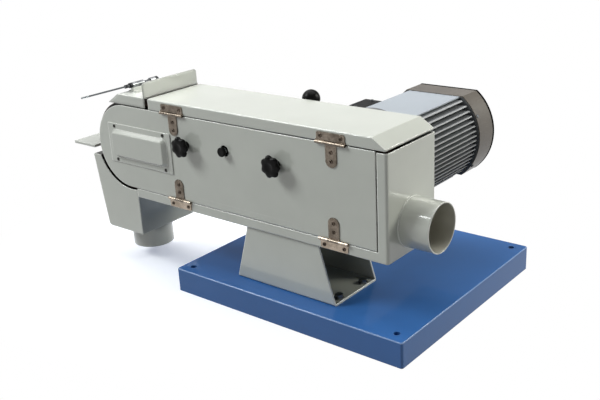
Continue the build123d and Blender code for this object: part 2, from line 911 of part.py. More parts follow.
# Sanding belt: both wheels' tangent loop, at one gap from the tyre and the drive rim
center_line = Vector(drive_x - contact_x, drive_z - axis_z).normalized()
top_normal = Vector(0, 1)
bottom_normal = center_line * (2 * top_normal.dot(center_line)) - top_normal
contact_center = Vector(contact_x, axis_z)
drive_center = Vector(drive_x, drive_z)


def belt_loop(distance):
    """Closed line at one distance outside the two wheels."""
    front = contact_radius + distance
    rear = drive_radius + distance
    with BuildLine() as loop:
        Line(contact_center + top_normal * front, drive_center + top_normal * rear)
        ThreePointArc(
            drive_center + top_normal * rear,
            drive_center + center_line * rear,
            drive_center + bottom_normal * rear,
        )
        Line(drive_center + bottom_normal * rear, contact_center + bottom_normal * front)
        ThreePointArc(
            contact_center + bottom_normal * front,
            contact_center - center_line * front,
            contact_center + top_normal * front,
        )
    return loop.line.edges()


with BuildPart() as sanding_belt:
    with BuildSketch(side_plane(belt_far)):
        make_face(belt_loop(belt_gap + belt_thickness))
        make_face(belt_loop(belt_gap), mode=Mode.SUBTRACT)
    extrude(amount=belt_width)
sanding_belt.part.label = "sanding_belt"
export_step(sanding_belt.part, "parts/sanding_belt.step")

# Platen: a plate under the top run on two welded brackets, with a slide pad on it
bracket_leg_near = far_inner - platen_bracket_thickness
bracket_shelf_near = far_inner - platen_bracket_reach
bracket_shelf_bottom = platen_bottom - platen_bracket_thickness
with BuildPart() as platen:
    block(platen_front_x, platen_rear_x, belt_near, belt_far, platen_bottom, platen_top)
    for x in (platen_bracket_front_x, platen_bracket_rear_x):
        left = x - platen_bracket_width / 2
        right = x + platen_bracket_width / 2
        block(left, right, bracket_leg_near, far_inner, bracket_bottom, platen_bottom)
        block(left, right, bracket_shelf_near, far_inner, bracket_shelf_bottom, platen_bottom)
    for x, z in bracket_bolts_at:
        tube_y(x, z, bracket_leg_near, far_inner, m8 / 2 + hole_clearance, mode=Mode.SUBTRACT)
platen.part.label = "platen"
export_step(platen.part, "parts/platen.step")

with BuildPart() as platen_pad:
    block(platen_front_x, platen_rear_x, belt_near, belt_far, platen_top, pad_top)
platen_pad.part.label = "platen_pad"
export_step(platen_pad.part, "parts/platen_pad.step")

# Housing posts on the motor-side wall: two for the star knobs, one for the tracking knob
post_end = door_inner + side_clearance
tracking_post_end = near_face - tracking_post_out
tracking_bore = tracking_spindle_diameter / 2 + running_clearance
with BuildPart() as housing_posts:
    for x in (star_knob_front_x, star_knob_rear_x):
        tube_y(x, star_knob_z, post_end, far_inner, post_diameter / 2)
        tube_y(
            x,
            star_knob_z,
            post_end,
            post_end + post_hole_depth,
            post_hole_diameter / 2,
            mode=Mode.SUBTRACT,
        )
    tube_y(tracking_x, tracking_z, tracking_post_end, far_inner, tracking_post_diameter / 2)
    tube_y(
        tracking_x,
        tracking_z,
        tracking_post_end,
        tracking_post_end + tracking_spindle_length + side_clearance,
        tracking_bore,
        mode=Mode.SUBTRACT,
    )
housing_posts.part.label = "housing_posts"
export_step(housing_posts.part, "parts/housing_posts.step")

# Tracking knob on its spindle
tracking_knob_back = tracking_post_end - side_clearance
with BuildPart() as tracking_knob:
    tube_y(
        tracking_x,
        tracking_z,
        tracking_knob_back - tracking_knob_length,
        tracking_knob_back,
        tracking_knob_diameter / 2,
    )
    chamfer(tracking_knob.faces().sort_by(Axis.Y)[0].edges(), tracking_knob_chamfer)
    tube_y(
        tracking_x,
        tracking_z,
        tracking_knob_back,
        tracking_post_end + tracking_spindle_length,
        tracking_spindle_diameter / 2,
    )
tracking_knob.part.label = "tracking_knob"
export_step(tracking_knob.part, "parts/tracking_knob.step")

# Spring seat, a block bored for the front door post, with a pin that guides the spring and ends
# clear of the cross-bar when the fork is drawn back
seat_front_x = star_knob_front_x - spring_seat_length / 2
spring_pin_tip_x = crossbar_rear_x + tension_travel + spring_pin_end_gap
seat_near = housing_center_y - spring_seat_width / 2
seat_far = housing_center_y + spring_seat_width / 2
with BuildPart() as spring_seat:
    block(
        seat_front_x,
        seat_front_x + spring_seat_length,
        seat_near,
        seat_far,
        spring_seat_bottom_z,
        spring_seat_top_z,
    )
    tube_y(
        star_knob_front_x,
        star_knob_z,
        seat_near,
        seat_far,
        post_diameter / 2 + running_clearance,
        mode=Mode.SUBTRACT,
    )
    tube_x(housing_center_y, axis_z, spring_pin_tip_x, seat_front_x, spring_pin_diameter / 2)
spring_seat.part.label = "spring_seat"
export_step(spring_seat.part, "parts/spring_seat.step")

# Tension spring between the fork's cross-bar and its seat, as a plain sleeve inside the housing
with BuildPart() as tension_spring:
    tube_x(
        housing_center_y,
        axis_z,
        crossbar_rear_x + running_clearance,
        seat_front_x - running_clearance,
        spring_diameter / 2,
        spring_diameter / 2 - spring_wire,
    )
tension_spring.part.label = "tension_spring"
export_step(tension_spring.part, "parts/tension_spring.step")

# Tension guide: a box on the motor side of the wall, in which the fork's slide and crank run
disc_near = arm_far_outer + side_clearance
disc_far = disc_near + crank_disc_thickness
guide_cavity_y = disc_far + side_clearance
guide_outer_y = guide_cavity_y + guide_wall
with BuildPart() as tension_guide:
    block(
        window_front_x - guide_end_wall,
        window_rear_x + guide_end_wall,
        far_face,
        guide_outer_y,
        guide_low,
        guide_high,
    )
    block(
        window_front_x,
        window_rear_x,
        far_face,
        guide_cavity_y,
        arm_low - side_clearance,
        arm_high + side_clearance,
        Mode.SUBTRACT,
    )
    tube_y(
        lever_x,
        lever_z,
        far_face,
        guide_cavity_y,
        crank_disc_radius + side_clearance,
        mode=Mode.SUBTRACT,
    )
    tube_y(
        lever_x,
        lever_z,
        guide_cavity_y,
        guide_outer_y,
        lever_shaft_diameter / 2 + running_clearance,
        mode=Mode.SUBTRACT,
    )
    for x, z in guide_bolts_at:
        tube_y(x, z, far_face, guide_outer_y, m8 / 2 + hole_clearance, mode=Mode.SUBTRACT)
tension_guide.part.label = "tension_guide"
export_step(tension_guide.part, "parts/tension_guide.step")

# Wall bolts: those of the guide, platen brackets, visor, motor flange and work rest
motor_bolt_length = sheet + motor_flange_thickness - bearing_lip
rest_washer_y = bracket_far + side_clearance
rest_head_y = rest_washer_y + washer_thickness + bond_gap
rest_bolt_length = rest_head_y - far_inner + m8 * hex_half_flats
with BuildPart() as wall_bolts:
    for x, z in guide_bolts_at:
        hex_bolt(Plane(origin=(x, guide_outer_y, z), z_dir=(0, 1, 0)), m8, guide_outer_y - far_inner)
    for x, z in bracket_bolts_at:
        bracket_seat = Plane(origin=(x, far_face, z), z_dir=(0, 1, 0))
        hex_bolt(bracket_seat, m8, sheet + platen_bracket_thickness)
    for x, z in visor_bolts_at:
        hex_bolt(Plane(origin=(x, visor_lap_y, z), z_dir=(0, 1, 0)), m8, 2 * sheet)
    for x, z in motor_bolts_at:
        hex_bolt(Plane(origin=(x, far_inner, z), z_dir=(0, -1, 0)), m8, motor_bolt_length)
    for x, z in rest_bolts_at:
        washer(Plane(origin=(x, rest_washer_y, z), z_dir=(0, 1, 0)), m8)
        hex_bolt(Plane(origin=(x, rest_head_y, z), z_dir=(0, 1, 0)), m8, rest_bolt_length)
        hex_nut(Plane(origin=(x, far_inner, z), z_dir=(0, -1, 0)), m8)
wall_bolts.part.label = "wall_bolts"
export_step(wall_bolts.part, "parts/wall_bolts.step")

# Tension fork: door-side arm, cross-bar behind the wheel and the long slide in the guide
crank_radius = tension_travel / (2 * sin(radians(lever_half_swing)))
crank_pin_x = lever_x - crank_radius * sin(radians(lever_half_swing))
crank_pin_z = lever_z - crank_radius * cos(radians(lever_half_swing))
slot_reach = crank_pin_diameter / 2 + crank_pin_play
axle_radius = contact_axle_diameter / 2
with BuildPart() as tension_fork:
    block(arm_front_x, arm_rear_x, arm_near_outer, arm_near_inner, arm_low, arm_high)
    fillet(tension_fork.edges().filter_by(Axis.Y).group_by(Axis.X)[0], arm_corner_radius)
    block(crossbar_front_x, crossbar_rear_x, arm_near_inner, arm_far_inner, arm_low, arm_high)
    block(arm_front_x, slide_rear_x, arm_far_inner, arm_far_outer, arm_low, arm_high)
    block(
        crank_pin_x - slot_reach,
        crank_pin_x + slot_reach,
        arm_far_inner,
        arm_far_outer,
        lever_z - crank_radius - slot_reach,
        crank_pin_z + slot_reach,
        Mode.SUBTRACT,
    )
    tube_y(
        contact_x,
        axis_z,
        arm_near_outer,
        arm_far_outer,
        axle_radius + running_clearance,
        mode=Mode.SUBTRACT,
    )
tension_fork.part.label = "tension_fork"
export_step(tension_fork.part, "parts/tension_fork.step")

# Contact wheel axle, a headed pin through both arms
with BuildPart() as contact_axle:
    tube_y(contact_x, axis_z, arm_near_outer, arm_far_outer, axle_radius)
    with BuildSketch(axis_plane(contact_x, arm_near_outer, axis_z)):
        RegularPolygon(axle_head_flats / 2, 6, major_radius=False)
    extrude(amount=axle_head_height)
contact_axle.part.label = "contact_axle"
export_step(contact_axle.part, "parts/contact_axle.step")

# Axle spacers beside and between the two bearings
hub_near = housing_center_y - contact_hub_length / 2
hub_far = housing_center_y + contact_hub_length / 2
bearing_gap_near = hub_near + contact_bearing_width
bearing_gap_far = hub_far - contact_bearing_width
with BuildPart() as axle_spacers:
    for low, high in (
        (arm_near_inner, hub_near - side_clearance),
        (bearing_gap_near + side_clearance, bearing_gap_far - side_clearance),
        (hub_far + side_clearance, arm_far_inner),
    ):
        tube_y(contact_x, axis_z, low, high, spacer_diameter / 2, axle_radius + running_clearance)
axle_spacers.part.label = "axle_spacers"
export_step(axle_spacers.part, "parts/axle_spacers.step")


def spoked_wheel(x, z, rim_radius, hub_radius, hub_low, hub_high):
    """Cast wheel body: rim, web with lightening holes, and hub, before its bore is cut."""
    rim_inner = rim_radius - rim_thickness
    web_middle = (hub_low + hub_high) / 2
    web_low = web_middle - web_thickness / 2
    web_high = web_middle + web_thickness / 2
    tube_y(x, z, belt_near, belt_far, rim_radius, rim_inner)
    tube_y(x, z, web_low, web_high, (rim_radius + rim_inner) / 2)
    tube_y(x, z, hub_low, hub_high, hub_radius)
    with BuildSketch(axis_plane(x, web_high, z)) as holes:
        with PolarLocations((hub_radius + rim_inner) / 2, web_hole_count):
            Circle(web_hole_diameter / 2)
    extrude(holes.sketch, amount=web_thickness, mode=Mode.SUBTRACT)


# Contact wheel: cast hub, rubber tyre and two ball bearings
bearing_radius = contact_bearing_diameter / 2
with BuildPart() as contact_hub:
    spoked_wheel(
        contact_x,
        axis_z,
        contact_radius - tyre_thickness,
        contact_hub_diameter / 2,
        hub_near,
        hub_far,
    )
    tube_y(contact_x, axis_z, hub_near, hub_far, bearing_radius + bond_gap, mode=Mode.SUBTRACT)
contact_hub.part.label = "contact_hub"
export_step(contact_hub.part, "parts/contact_hub.step")

with BuildPart() as contact_tyre:
    tube_y(
        contact_x,
        axis_z,
        belt_near,
        belt_far,
        contact_radius,
        contact_radius - tyre_thickness + bond_gap,
    )
contact_tyre.part.label = "contact_tyre"
export_step(contact_tyre.part, "parts/contact_tyre.step")

with BuildPart() as contact_bearings:
    for low, high in ((hub_near, bearing_gap_near), (bearing_gap_far, hub_far)):
        tube_y(contact_x, axis_z, low, high, bearing_radius, axle_radius + running_clearance)
contact_bearings.part.label = "contact_bearings"
export_step(contact_bearings.part, "parts/contact_bearings.step")

# Tension lever: crank disc with its pin, shaft through the guide, hub and rod
lever_hub_low = guide_outer_y + side_clearance
lever_hub_high = lever_hub_low + lever_hub_length
lever_y = (lever_hub_low + lever_hub_high) / 2
lever_direction = Vector(ball_x - lever_x, 0, ball_z - lever_z)
rod_length = lever_direction.length - ball_diameter / 2 + ball_socket_depth
rod_plane = Plane(origin=(lever_x, lever_y, lever_z), z_dir=lever_direction)
with BuildPart() as tension_lever:
    tube_y(lever_x, lever_z, disc_near, disc_far, crank_disc_radius)
    tube_y(crank_pin_x, crank_pin_z, arm_far_inner, disc_near, crank_pin_diameter / 2)
    tube_y(lever_x, lever_z, disc_far, lever_hub_low, lever_shaft_diameter / 2)
    tube_y(lever_x, lever_z, lever_hub_low, lever_hub_high, lever_hub_diameter / 2)
    with BuildSketch(rod_plane):
        Circle(lever_rod_diameter / 2)
    extrude(amount=rod_length)
tension_lever.part.label = "tension_lever"
export_step(tension_lever.part, "parts/tension_lever.step")

# Ball knob screwed on the lever's rod
with BuildPart() as ball_knob:
    with Locations((ball_x, lever_y, ball_z)):
        Sphere(ball_diameter / 2)
    with BuildSketch(rod_plane):
        Circle(lever_rod_diameter / 2 + running_clearance)
    extrude(amount=rod_length + running_clearance, mode=Mode.SUBTRACT)
ball_knob.part.label = "ball_knob"
export_step(ball_knob.part, "parts/ball_knob.step")

# Motor flange at the drive end, with its bearing seat
motor_near = far_face + motor_flange_thickness
drive_bearing_low = far_face + bearing_lip
drive_bearing_high = drive_bearing_low + motor_bearing_width
boss_radius = motor_bearing_radius + bearing_boss_wall
shaft_passage = shaft_radius + bearing_lip
motor_hole_end = motor_near - bearing_lip + hole_clearance
with BuildPart() as motor_flange:
    tube_y(drive_x, drive_z, far_face, motor_near, motor_radius)
    tube_y(drive_x, drive_z, far_face, drive_bearing_high, boss_radius)
    tube_y(drive_x, drive_z, far_face, drive_bearing_low, shaft_passage, mode=Mode.SUBTRACT)
    tube_y(
        drive_x,
        drive_z,
        drive_bearing_low,
        drive_bearing_high,
        motor_bearing_radius + bond_gap,
        mode=Mode.SUBTRACT,
    )
    for x, z in motor_bolts_at:
        tube_y(x, z, far_face, motor_hole_end, m8 / 2 + hole_clearance, mode=Mode.SUBTRACT)
motor_flange.part.label = "motor_flange"
export_step(motor_flange.part, "parts/motor_flange.step")

# Motor frame: a casing with a flat top, level fins on both sides and upright fins below
frame_flat = motor_flat - motor_top_plate_thickness
fin_end_y = motor_end_y - motor_fin_setback
level_fin_middle = level_fin_top - motor_fin_pitch * (level_fin_count - 1) / 2
with BuildPart() as motor_frame:
    with BuildSketch(axis_plane(drive_x, motor_end_y, drive_z)):
        flat_sided_disc(motor_core_radius, frame_flat)
    extrude(amount=motor_end_y - motor_near)
    with BuildSketch(axis_plane(drive_x, fin_end_y, drive_z)):
        with Locations((0, level_fin_middle)):
            with GridLocations(0, motor_fin_pitch, 1, level_fin_count):
                Rectangle(2 * motor_radius, motor_fin_thickness)
        with Locations((0, -motor_radius / 2)):
            with GridLocations(motor_fin_pitch, 0, upright_fin_count, 1):
                Rectangle(motor_fin_thickness, motor_radius)
        Circle(motor_radius, mode=Mode.INTERSECT)
    extrude(amount=fin_end_y - motor_near)
    tube_y(drive_x, drive_z, motor_near, motor_end_y, motor_bore_radius, mode=Mode.SUBTRACT)
motor_frame.part.label = "motor_frame"
export_step(motor_frame.part, "parts/motor_frame.step")

# Bare plate on the motor's flat top
plate_half_width = (motor_radius**2 - motor_flat**2) ** 0.5
with BuildPart() as motor_top_plate:
    block(
        drive_x - plate_half_width,
        drive_x + plate_half_width,
        motor_near,
        motor_end_y,
        drive_z + frame_flat,
        drive_z + motor_flat,
    )
motor_top_plate.part.label = "motor_top_plate"
export_step(motor_top_plate.part, "parts/motor_top_plate.step")

# Rear end shield with its bearing seat, inside the cowl
shield_radius = cowl_radius - cowl_wall - side_clearance
shield_flat = cowl_flat - cowl_wall - side_clearance
fan_bearing_high = motor_end_y + motor_bearing_width
cowl_screw_y = motor_end_y + cowl_screw_inset
cowl_screw_length = cowl_radius - shield_radius + end_shield_thickness


def cowl_screw_seat(angle):
    """Plane on the cowl's skin at one angle, facing outwards."""
    outward = Vector(cos(radians(angle)), 0, sin(radians(angle)))
    return Plane(origin=Vector(drive_x, cowl_screw_y, drive_z) + outward * cowl_radius, z_dir=outward)


with BuildPart() as motor_end_shield:
    with BuildSketch(axis_plane(drive_x, motor_end_y + end_shield_thickness, drive_z)):
        flat_sided_disc(shield_radius, shield_flat)
    extrude(amount=end_shield_thickness)
    tube_y(drive_x, drive_z, motor_end_y, fan_bearing_high + bearing_lip, boss_radius)
    tube_y(
        drive_x,
        drive_z,
        motor_end_y,
        fan_bearing_high,
        motor_bearing_radius + bond_gap,
        mode=Mode.SUBTRACT,
    )
    tube_y(
        drive_x,
        drive_z,
        fan_bearing_high,
        fan_bearing_high + bearing_lip,
        shaft_passage,
        mode=Mode.SUBTRACT,
    )
    for angle in cowl_screw_angles:
        with BuildSketch(cowl_screw_seat(angle)):
            Circle(m5 / 2 + hole_clearance)
        extrude(amount=-cowl_screw_length - hole_clearance, mode=Mode.SUBTRACT)
motor_end_shield.part.label = "motor_end_shield"
export_step(motor_end_shield.part, "parts/motor_end_shield.step")

# Stator with its end windings
stator_middle = (motor_near + motor_end_y) / 2
stator_low = stator_middle - stator_length / 2
stator_high = stator_middle + stator_length / 2
with BuildPart() as stator:
    tube_y(
        drive_x,
        drive_z,
        stator_low - winding_length,
        stator_high + winding_length,
        winding_outer_radius,
        winding_inner_radius,
    )
    tube_y(
        drive_x, drive_z, stator_low, stator_high, motor_bore_radius - bond_gap, stator_bore_radius
    )
stator.part.label = "stator"
export_step(stator.part, "parts/stator.step")

# Motor bearings at both ends of the shaft
with BuildPart() as motor_bearings:
    for low, high in ((drive_bearing_low, drive_bearing_high), (motor_end_y, fan_bearing_high)):
        tube_y(
            drive_x, drive_z, low, high, motor_bearing_radius, shaft_radius + running_clearance
        )
motor_bearings.part.label = "motor_bearings"
export_step(motor_bearings.part, "parts/motor_bearings.step")

# Fan cowl: a drum with a flat top and bottom and radial slots in its end
with BuildPart() as fan_cowl:
    with BuildSketch(axis_plane(drive_x, cowl_end_y, drive_z)):
        flat_sided_disc(cowl_radius, cowl_flat)
    extrude(amount=cowl_end_y - motor_end_y)
    fillet(fan_cowl.faces().sort_by(Axis.Y)[-1].edges(), bend_radius)
    with BuildSketch(axis_plane(drive_x, cowl_end_y - cowl_wall, drive_z)):
        flat_sided_disc(cowl_radius - cowl_wall, cowl_flat - cowl_wall)
    extrude(amount=cowl_end_y - cowl_wall - motor_end_y, mode=Mode.SUBTRACT)
    with BuildSketch(axis_plane(drive_x, cowl_end_y, drive_z)):
        with PolarLocations(cowl_slot_circle / 2, cowl_slot_count):
            SlotOverall(cowl_slot_length, cowl_slot_width)
    extrude(amount=cowl_wall, mode=Mode.SUBTRACT)
    for angle in cowl_screw_angles:
        with BuildSketch(cowl_screw_seat(angle)):
            Circle(m5 / 2 + hole_clearance)
        extrude(amount=-cowl_screw_length, mode=Mode.SUBTRACT)
fan_cowl.part.label = "fan_cowl"
export_step(fan_cowl.part, "parts/fan_cowl.step")

# Terminal box on the motor's flank, with a bevelled outer edge and an open top under its lid
box_middle_y = (box_near_y + box_far_y) / 2
gland_x = box_left_x + gland_inset
box_lid_left = box_left_x + box_bevel
box_lid_right = drive_x - (motor_radius**2 - (box_top_z - drive_z) ** 2) ** 0.5 - bond_gap
box_screw_x = (box_lid_left + box_lid_right) / 2
box_screws_at = [(box_screw_x, box_near_y + box_boss / 2), (box_screw_x, box_far_y - box_boss / 2)]
box_screw_length = box_lid_thickness + box_boss
box_corners = (
    (box_left_x, box_bottom_z),
    (box_right_x, box_bottom_z),
    (box_right_x, box_top_z),
    (box_lid_left, box_top_z),
    (box_left_x, box_top_z - box_bevel),
)
with BuildPart() as terminal_box:
    with BuildSketch(side_plane(box_far_y)):
        with BuildLine():
            Polyline(*box_corners, close=True)
        make_face()
    extrude(amount=box_far_y - box_near_y)
    with BuildSketch(side_plane(box_far_y - box_wall)):
        with BuildLine():
            Polyline(*box_corners, close=True)
        make_face()
        offset(amount=-box_wall)
        with Locations((drive_x, drive_z)):
            Circle(motor_radius + box_wall, mode=Mode.SUBTRACT)
    extrude(amount=box_far_y - box_near_y - 2 * box_wall, mode=Mode.SUBTRACT)
    block(
        box_lid_left + box_wall,
        box_lid_right - box_wall,
        box_near_y + box_wall,
        box_far_y - box_wall,
        box_top_z - box_wall,
        box_top_z,
        Mode.SUBTRACT,
    )
    for x, y in box_screws_at:
        half = box_boss / 2
        block(x - half, x + half, y - half, y + half, box_top_z - box_boss, box_top_z)
        hole_bottom = box_top_z - box_boss - hole_clearance
        tube_z(x, y, hole_bottom, box_top_z, m5 / 2 + hole_clearance, mode=Mode.SUBTRACT)
    tube_y(drive_x, drive_z, box_near_y, box_far_y, motor_radius + bond_gap, mode=Mode.SUBTRACT)
    tube_z(
        gland_x, box_middle_y, box_bottom_z, box_bottom_z + box_wall, gland_bore / 2, mode=Mode.SUBTRACT
    )
terminal_box.part.label = "terminal_box"
export_step(terminal_box.part, "parts/terminal_box.step")

box_lid_top = box_top_z + box_lid_thickness
with BuildPart() as terminal_box_lid:
    block(box_lid_left, box_lid_right, box_near_y, box_far_y, box_top_z, box_lid_top)
    for x, y in box_screws_at:
        tube_z(x, y, box_top_z, box_lid_top, m5 / 2 + hole_clearance, mode=Mode.SUBTRACT)
terminal_box_lid.part.label = "terminal_box_lid"
export_step(terminal_box_lid.part, "parts/terminal_box_lid.step")

# Cable gland under the terminal box
gland_end = box_bottom_z - gland_length
with BuildPart() as cable_gland:
    with BuildSketch(Plane(origin=(gland_x, box_middle_y, box_bottom_z), z_dir=(0, 0, -1))):
        RegularPolygon(gland_flats / 2, 6, major_radius=False)
    extrude(amount=gland_nut_height)
    tube_z(gland_x, box_middle_y, gland_end, box_bottom_z, gland_diameter / 2)
    tube_z(gland_x, box_middle_y, gland_end, box_bottom_z, gland_bore / 2, mode=Mode.SUBTRACT)
cable_gland.part.label = "cable_gland"
export_step(cable_gland.part, "parts/cable_gland.step")

# Motor screws: four in the cowl, two in the terminal box lid
with BuildPart() as motor_screws:
    for angle in cowl_screw_angles:
        pan_screw(cowl_screw_seat(angle), cowl_screw_length)
    for x, y in box_screws_at:
        pan_screw(Plane(origin=(x, y, box_lid_top)), box_screw_length)
motor_screws.part.label = "motor_screws"
export_step(motor_screws.part, "parts/motor_screws.step")

# Motor shaft, stepped, with a keyway and a tapped end for the drive wheel
drive_hub_far = belt_far + drive_hub_overhang
drive_hub_near = drive_hub_far - drive_hub_length
shaft_end = drive_hub_near + drive_washer_thickness
fan_low = fan_bearing_high + bearing_lip + fan_gap
fan_high = fan_low + fan_width
key_low = drive_hub_near + key_inset
key_high = drive_hub_far - key_inset
key_top = key_depth + key_height
with BuildPart() as motor_shaft:
    tube_y(drive_x, drive_z, shaft_end, drive_hub_far, shaft_end_radius)
    tube_y(drive_x, drive_z, drive_hub_far, fan_bearing_high, shaft_radius)
    tube_y(drive_x, drive_z, fan_bearing_high, fan_high, shaft_fan_radius)
    block(
        drive_x - key_width / 2 - bond_gap,
        drive_x + key_width / 2 + bond_gap,
        key_low - hole_clearance,
        key_high + hole_clearance,
        drive_z + key_depth - bond_gap,
        drive_z + key_top,
        Mode.SUBTRACT,
    )
    tube_y(
        drive_x,
        drive_z,
        shaft_end,
        drive_hub_near + drive_screw_length,
        m10 / 2 + hole_clearance,
        mode=Mode.SUBTRACT,
    )
motor_shaft.part.label = "motor_shaft"
export_step(motor_shaft.part, "parts/motor_shaft.step")

# Rotor core pressed on the shaft
with BuildPart() as rotor_core:
    tube_y(
        drive_x,
        drive_z,
        stator_low,
        stator_high,
        stator_bore_radius - air_gap,
        shaft_radius + bond_gap,
    )
rotor_core.part.label = "rotor_core"
export_step(rotor_core.part, "parts/rotor_core.step")

# Cooling fan on the shaft's far end
blade_length = fan_radius - fan_hub_radius + cast_root
with BuildPart() as cooling_fan:
    tube_y(drive_x, drive_z, fan_low, fan_high, fan_hub_radius)
    tube_y(drive_x, drive_z, fan_low, fan_low + fan_disc_thickness, fan_radius)
    with BuildSketch(axis_plane(drive_x, fan_high, drive_z)):
        with PolarLocations(fan_radius - blade_length / 2, fan_blade_count):
            Rectangle(blade_length, fan_blade_thickness)
    extrude(amount=fan_width)
    tube_y(
        drive_x, drive_z, fan_low, fan_high, shaft_fan_radius + bond_gap, mode=Mode.SUBTRACT
    )
cooling_fan.part.label = "cooling_fan"
export_step(cooling_fan.part, "parts/cooling_fan.step")

# Drive wheel, keyed on the shaft
with BuildPart() as drive_wheel:
    spoked_wheel(
        drive_x, drive_z, drive_radius, drive_hub_diameter / 2, drive_hub_near, drive_hub_far
    )
    tube_y(
        drive_x,
        drive_z,
        drive_hub_near,
        drive_hub_far,
        shaft_end_radius + bond_gap,
        mode=Mode.SUBTRACT,
    )
    block(
        drive_x - key_width / 2 - bond_gap,
        drive_x + key_width / 2 + bond_gap,
        drive_hub_near,
        drive_hub_far,
        drive_z + key_depth,
        drive_z + key_top + bond_gap,
        Mode.SUBTRACT,
    )
drive_wheel.part.label = "drive_wheel"
export_step(drive_wheel.part, "parts/drive_wheel.step")

with BuildPart() as drive_key:
    block(
        drive_x - key_width / 2,
        drive_x + key_width / 2,
        key_low,
        key_high,
        drive_z + key_depth,
        drive_z + key_top,
    )
drive_key.part.label = "drive_key"
export_step(drive_key.part, "parts/drive_key.step")

# Drive wheel screw with its large washer
drive_washer_near = drive_hub_near - drive_washer_thickness
with BuildPart() as drive_wheel_screw:
    tube_y(
        drive_x,
        drive_z,
        drive_washer_near,
        drive_hub_near,
        drive_washer_diameter / 2,
        m10 / 2 + hole_clearance,
    )
    hex_bolt(axis_plane(drive_x, drive_washer_near - bond_gap, drive_z), m10, drive_screw_length)
drive_wheel_screw.part.label = "drive_wheel_screw"
export_step(drive_wheel_screw.part, "parts/drive_wheel_screw.step")

# Places on the door and the lid: hinge screws and cover screws
upper_hinge_z = door_top + lid_seam / 2
strap_screws_at = [
    (x, z)
    for x in hinge_xs
    for rise in (hinge_strap_screw_near, hinge_strap_screw_far)
    for z in (lower_hinge_z + rise, upper_hinge_z - rise)
]
cover_screws_at = grid(cover_x, cover_z, cover_screw_spacing_x, cover_screw_spacing_z)
lid_leaf_screws_at = [
    (x + i * hinge_leaf_screw_spacing / 2, upper_hinge_z + leaf_screw_rise)
    for x in hinge_xs
    for i in (-1, 1)
]

# Door: one flat plate with a round front end
with BuildPart() as door_panel:
    with BuildSketch(side_plane(door_inner)):
        with Locations(((contact_x + door_rear_x) / 2, axis_z)):
            Rectangle(door_rear_x - contact_x, 2 * door_radius)
        with Locations((contact_x, axis_z)):
            Circle(door_radius)
        with Locations((cover_x, cover_z)):
            Rectangle(
                cover_length - 2 * cover_opening_margin,
                cover_height - 2 * cover_opening_margin,
                mode=Mode.SUBTRACT,
            )
        with Locations((star_knob_front_x, star_knob_z), (star_knob_rear_x, star_knob_z)):
            Circle(stud_diameter / 2 + stud_play, mode=Mode.SUBTRACT)
        with Locations((tracking_x, tracking_z)):
            Circle(tracking_door_hole / 2, mode=Mode.SUBTRACT)
        with Locations(*strap_screws_at, *cover_screws_at):
            Circle(m5 / 2 + hole_clearance, mode=Mode.SUBTRACT)
    extrude(amount=door_thickness)
door_panel.part.label = "door_panel"
export_step(door_panel.part, "parts/door_panel.step")

# Raised cover: a pressed pan over the fork's arm and the axle head
with BuildPart() as raised_cover:
    with BuildSketch(axis_plane(cover_x, near_face, cover_z)):
        RectangleRounded(cover_flange_length, cover_flange_height, cover_flange_radius)
    extrude(amount=sheet)
    with BuildSketch(axis_plane(cover_x, near_face, cover_z)):
        RectangleRounded(cover_length, cover_height, cover_corner_radius)
    extrude(amount=cover_depth, taper=cover_draft)
    fillet(raised_cover.faces().sort_by(Axis.Y)[0].edges(), bend_radius)
    with BuildSketch(axis_plane(cover_x, near_face, cover_z)):
        RectangleRounded(
            cover_length - 2 * sheet, cover_height - 2 * sheet, cover_corner_radius - sheet
        )
    extrude(amount=cover_depth - sheet, taper=cover_draft, mode=Mode.SUBTRACT)
    for x, z in cover_screws_at:
        tube_y(x, z, near_face - sheet, near_face, m5 / 2 + hole_clearance, mode=Mode.SUBTRACT)
raised_cover.part.label = "raised_cover"
export_step(raised_cover.part, "parts/raised_cover.step")

# T-hinges: a wide leaf with two outer knuckles, and a strap on the door with the middle one
hinge_y = near_face - hinge_barrel_diameter / 2 - side_clearance
outer_knuckle_length = (hinge_barrel_length - hinge_middle_length) / 2 - hinge_knuckle_gap
outer_knuckle_offset = (hinge_barrel_length - outer_knuckle_length) / 2
leaf_screws = [(i * hinge_leaf_screw_spacing / 2, leaf_screw_rise) for i in (-1, 1)]
strap_screws = [(0, hinge_strap_screw_near), (0, hinge_strap_screw_far)]


def knuckle(x, z, up, length):
    """Rolled knuckle with the strip that ties it to its plate; up is 1 above the pin, -1 below."""
    left = x - length / 2
    right = x + length / 2
    low, high = sorted((z, z + up * (hinge_plate_start + hinge_thickness)))
    block(left, right, near_face - hinge_thickness, near_face, low, high)
    tube_x(hinge_y, z, left, right, hinge_barrel_diameter / 2)
    bore = hinge_pin_diameter / 2 + running_clearance
    tube_x(hinge_y, z, left, right, bore, mode=Mode.SUBTRACT)


def hinge_plate(x, z, up, width, reach, corner_radius, screws):
    """Flat plate from beside the pin to its reach, rounded at its far corners, with screw holes."""
    far_row = -1 if up > 0 else 0
    with BuildSketch(axis_plane(x, near_face, z)) as plate:
        with Locations((0, up * (hinge_plate_start + reach) / 2)):
            Rectangle(width, reach - hinge_plate_start)
        fillet(plate.vertices().group_by(Axis.Y)[far_row], corner_radius)
        with Locations(*[(along, up * away) for along, away in screws]):
            Circle(m5 / 2 + hole_clearance, mode=Mode.SUBTRACT)
    extrude(plate.sketch, amount=hinge_thickness)


def hinge_leaf(x, z, up):
    """Wide leaf with its two outer knuckles."""
    reach = hinge_plate_start + hinge_leaf_height
    hinge_plate(x, z, up, hinge_leaf_width, reach, hinge_leaf_corner_radius, leaf_screws)
    for side in (-1, 1):
        knuckle(x + side * outer_knuckle_offset, z, up, outer_knuckle_length)


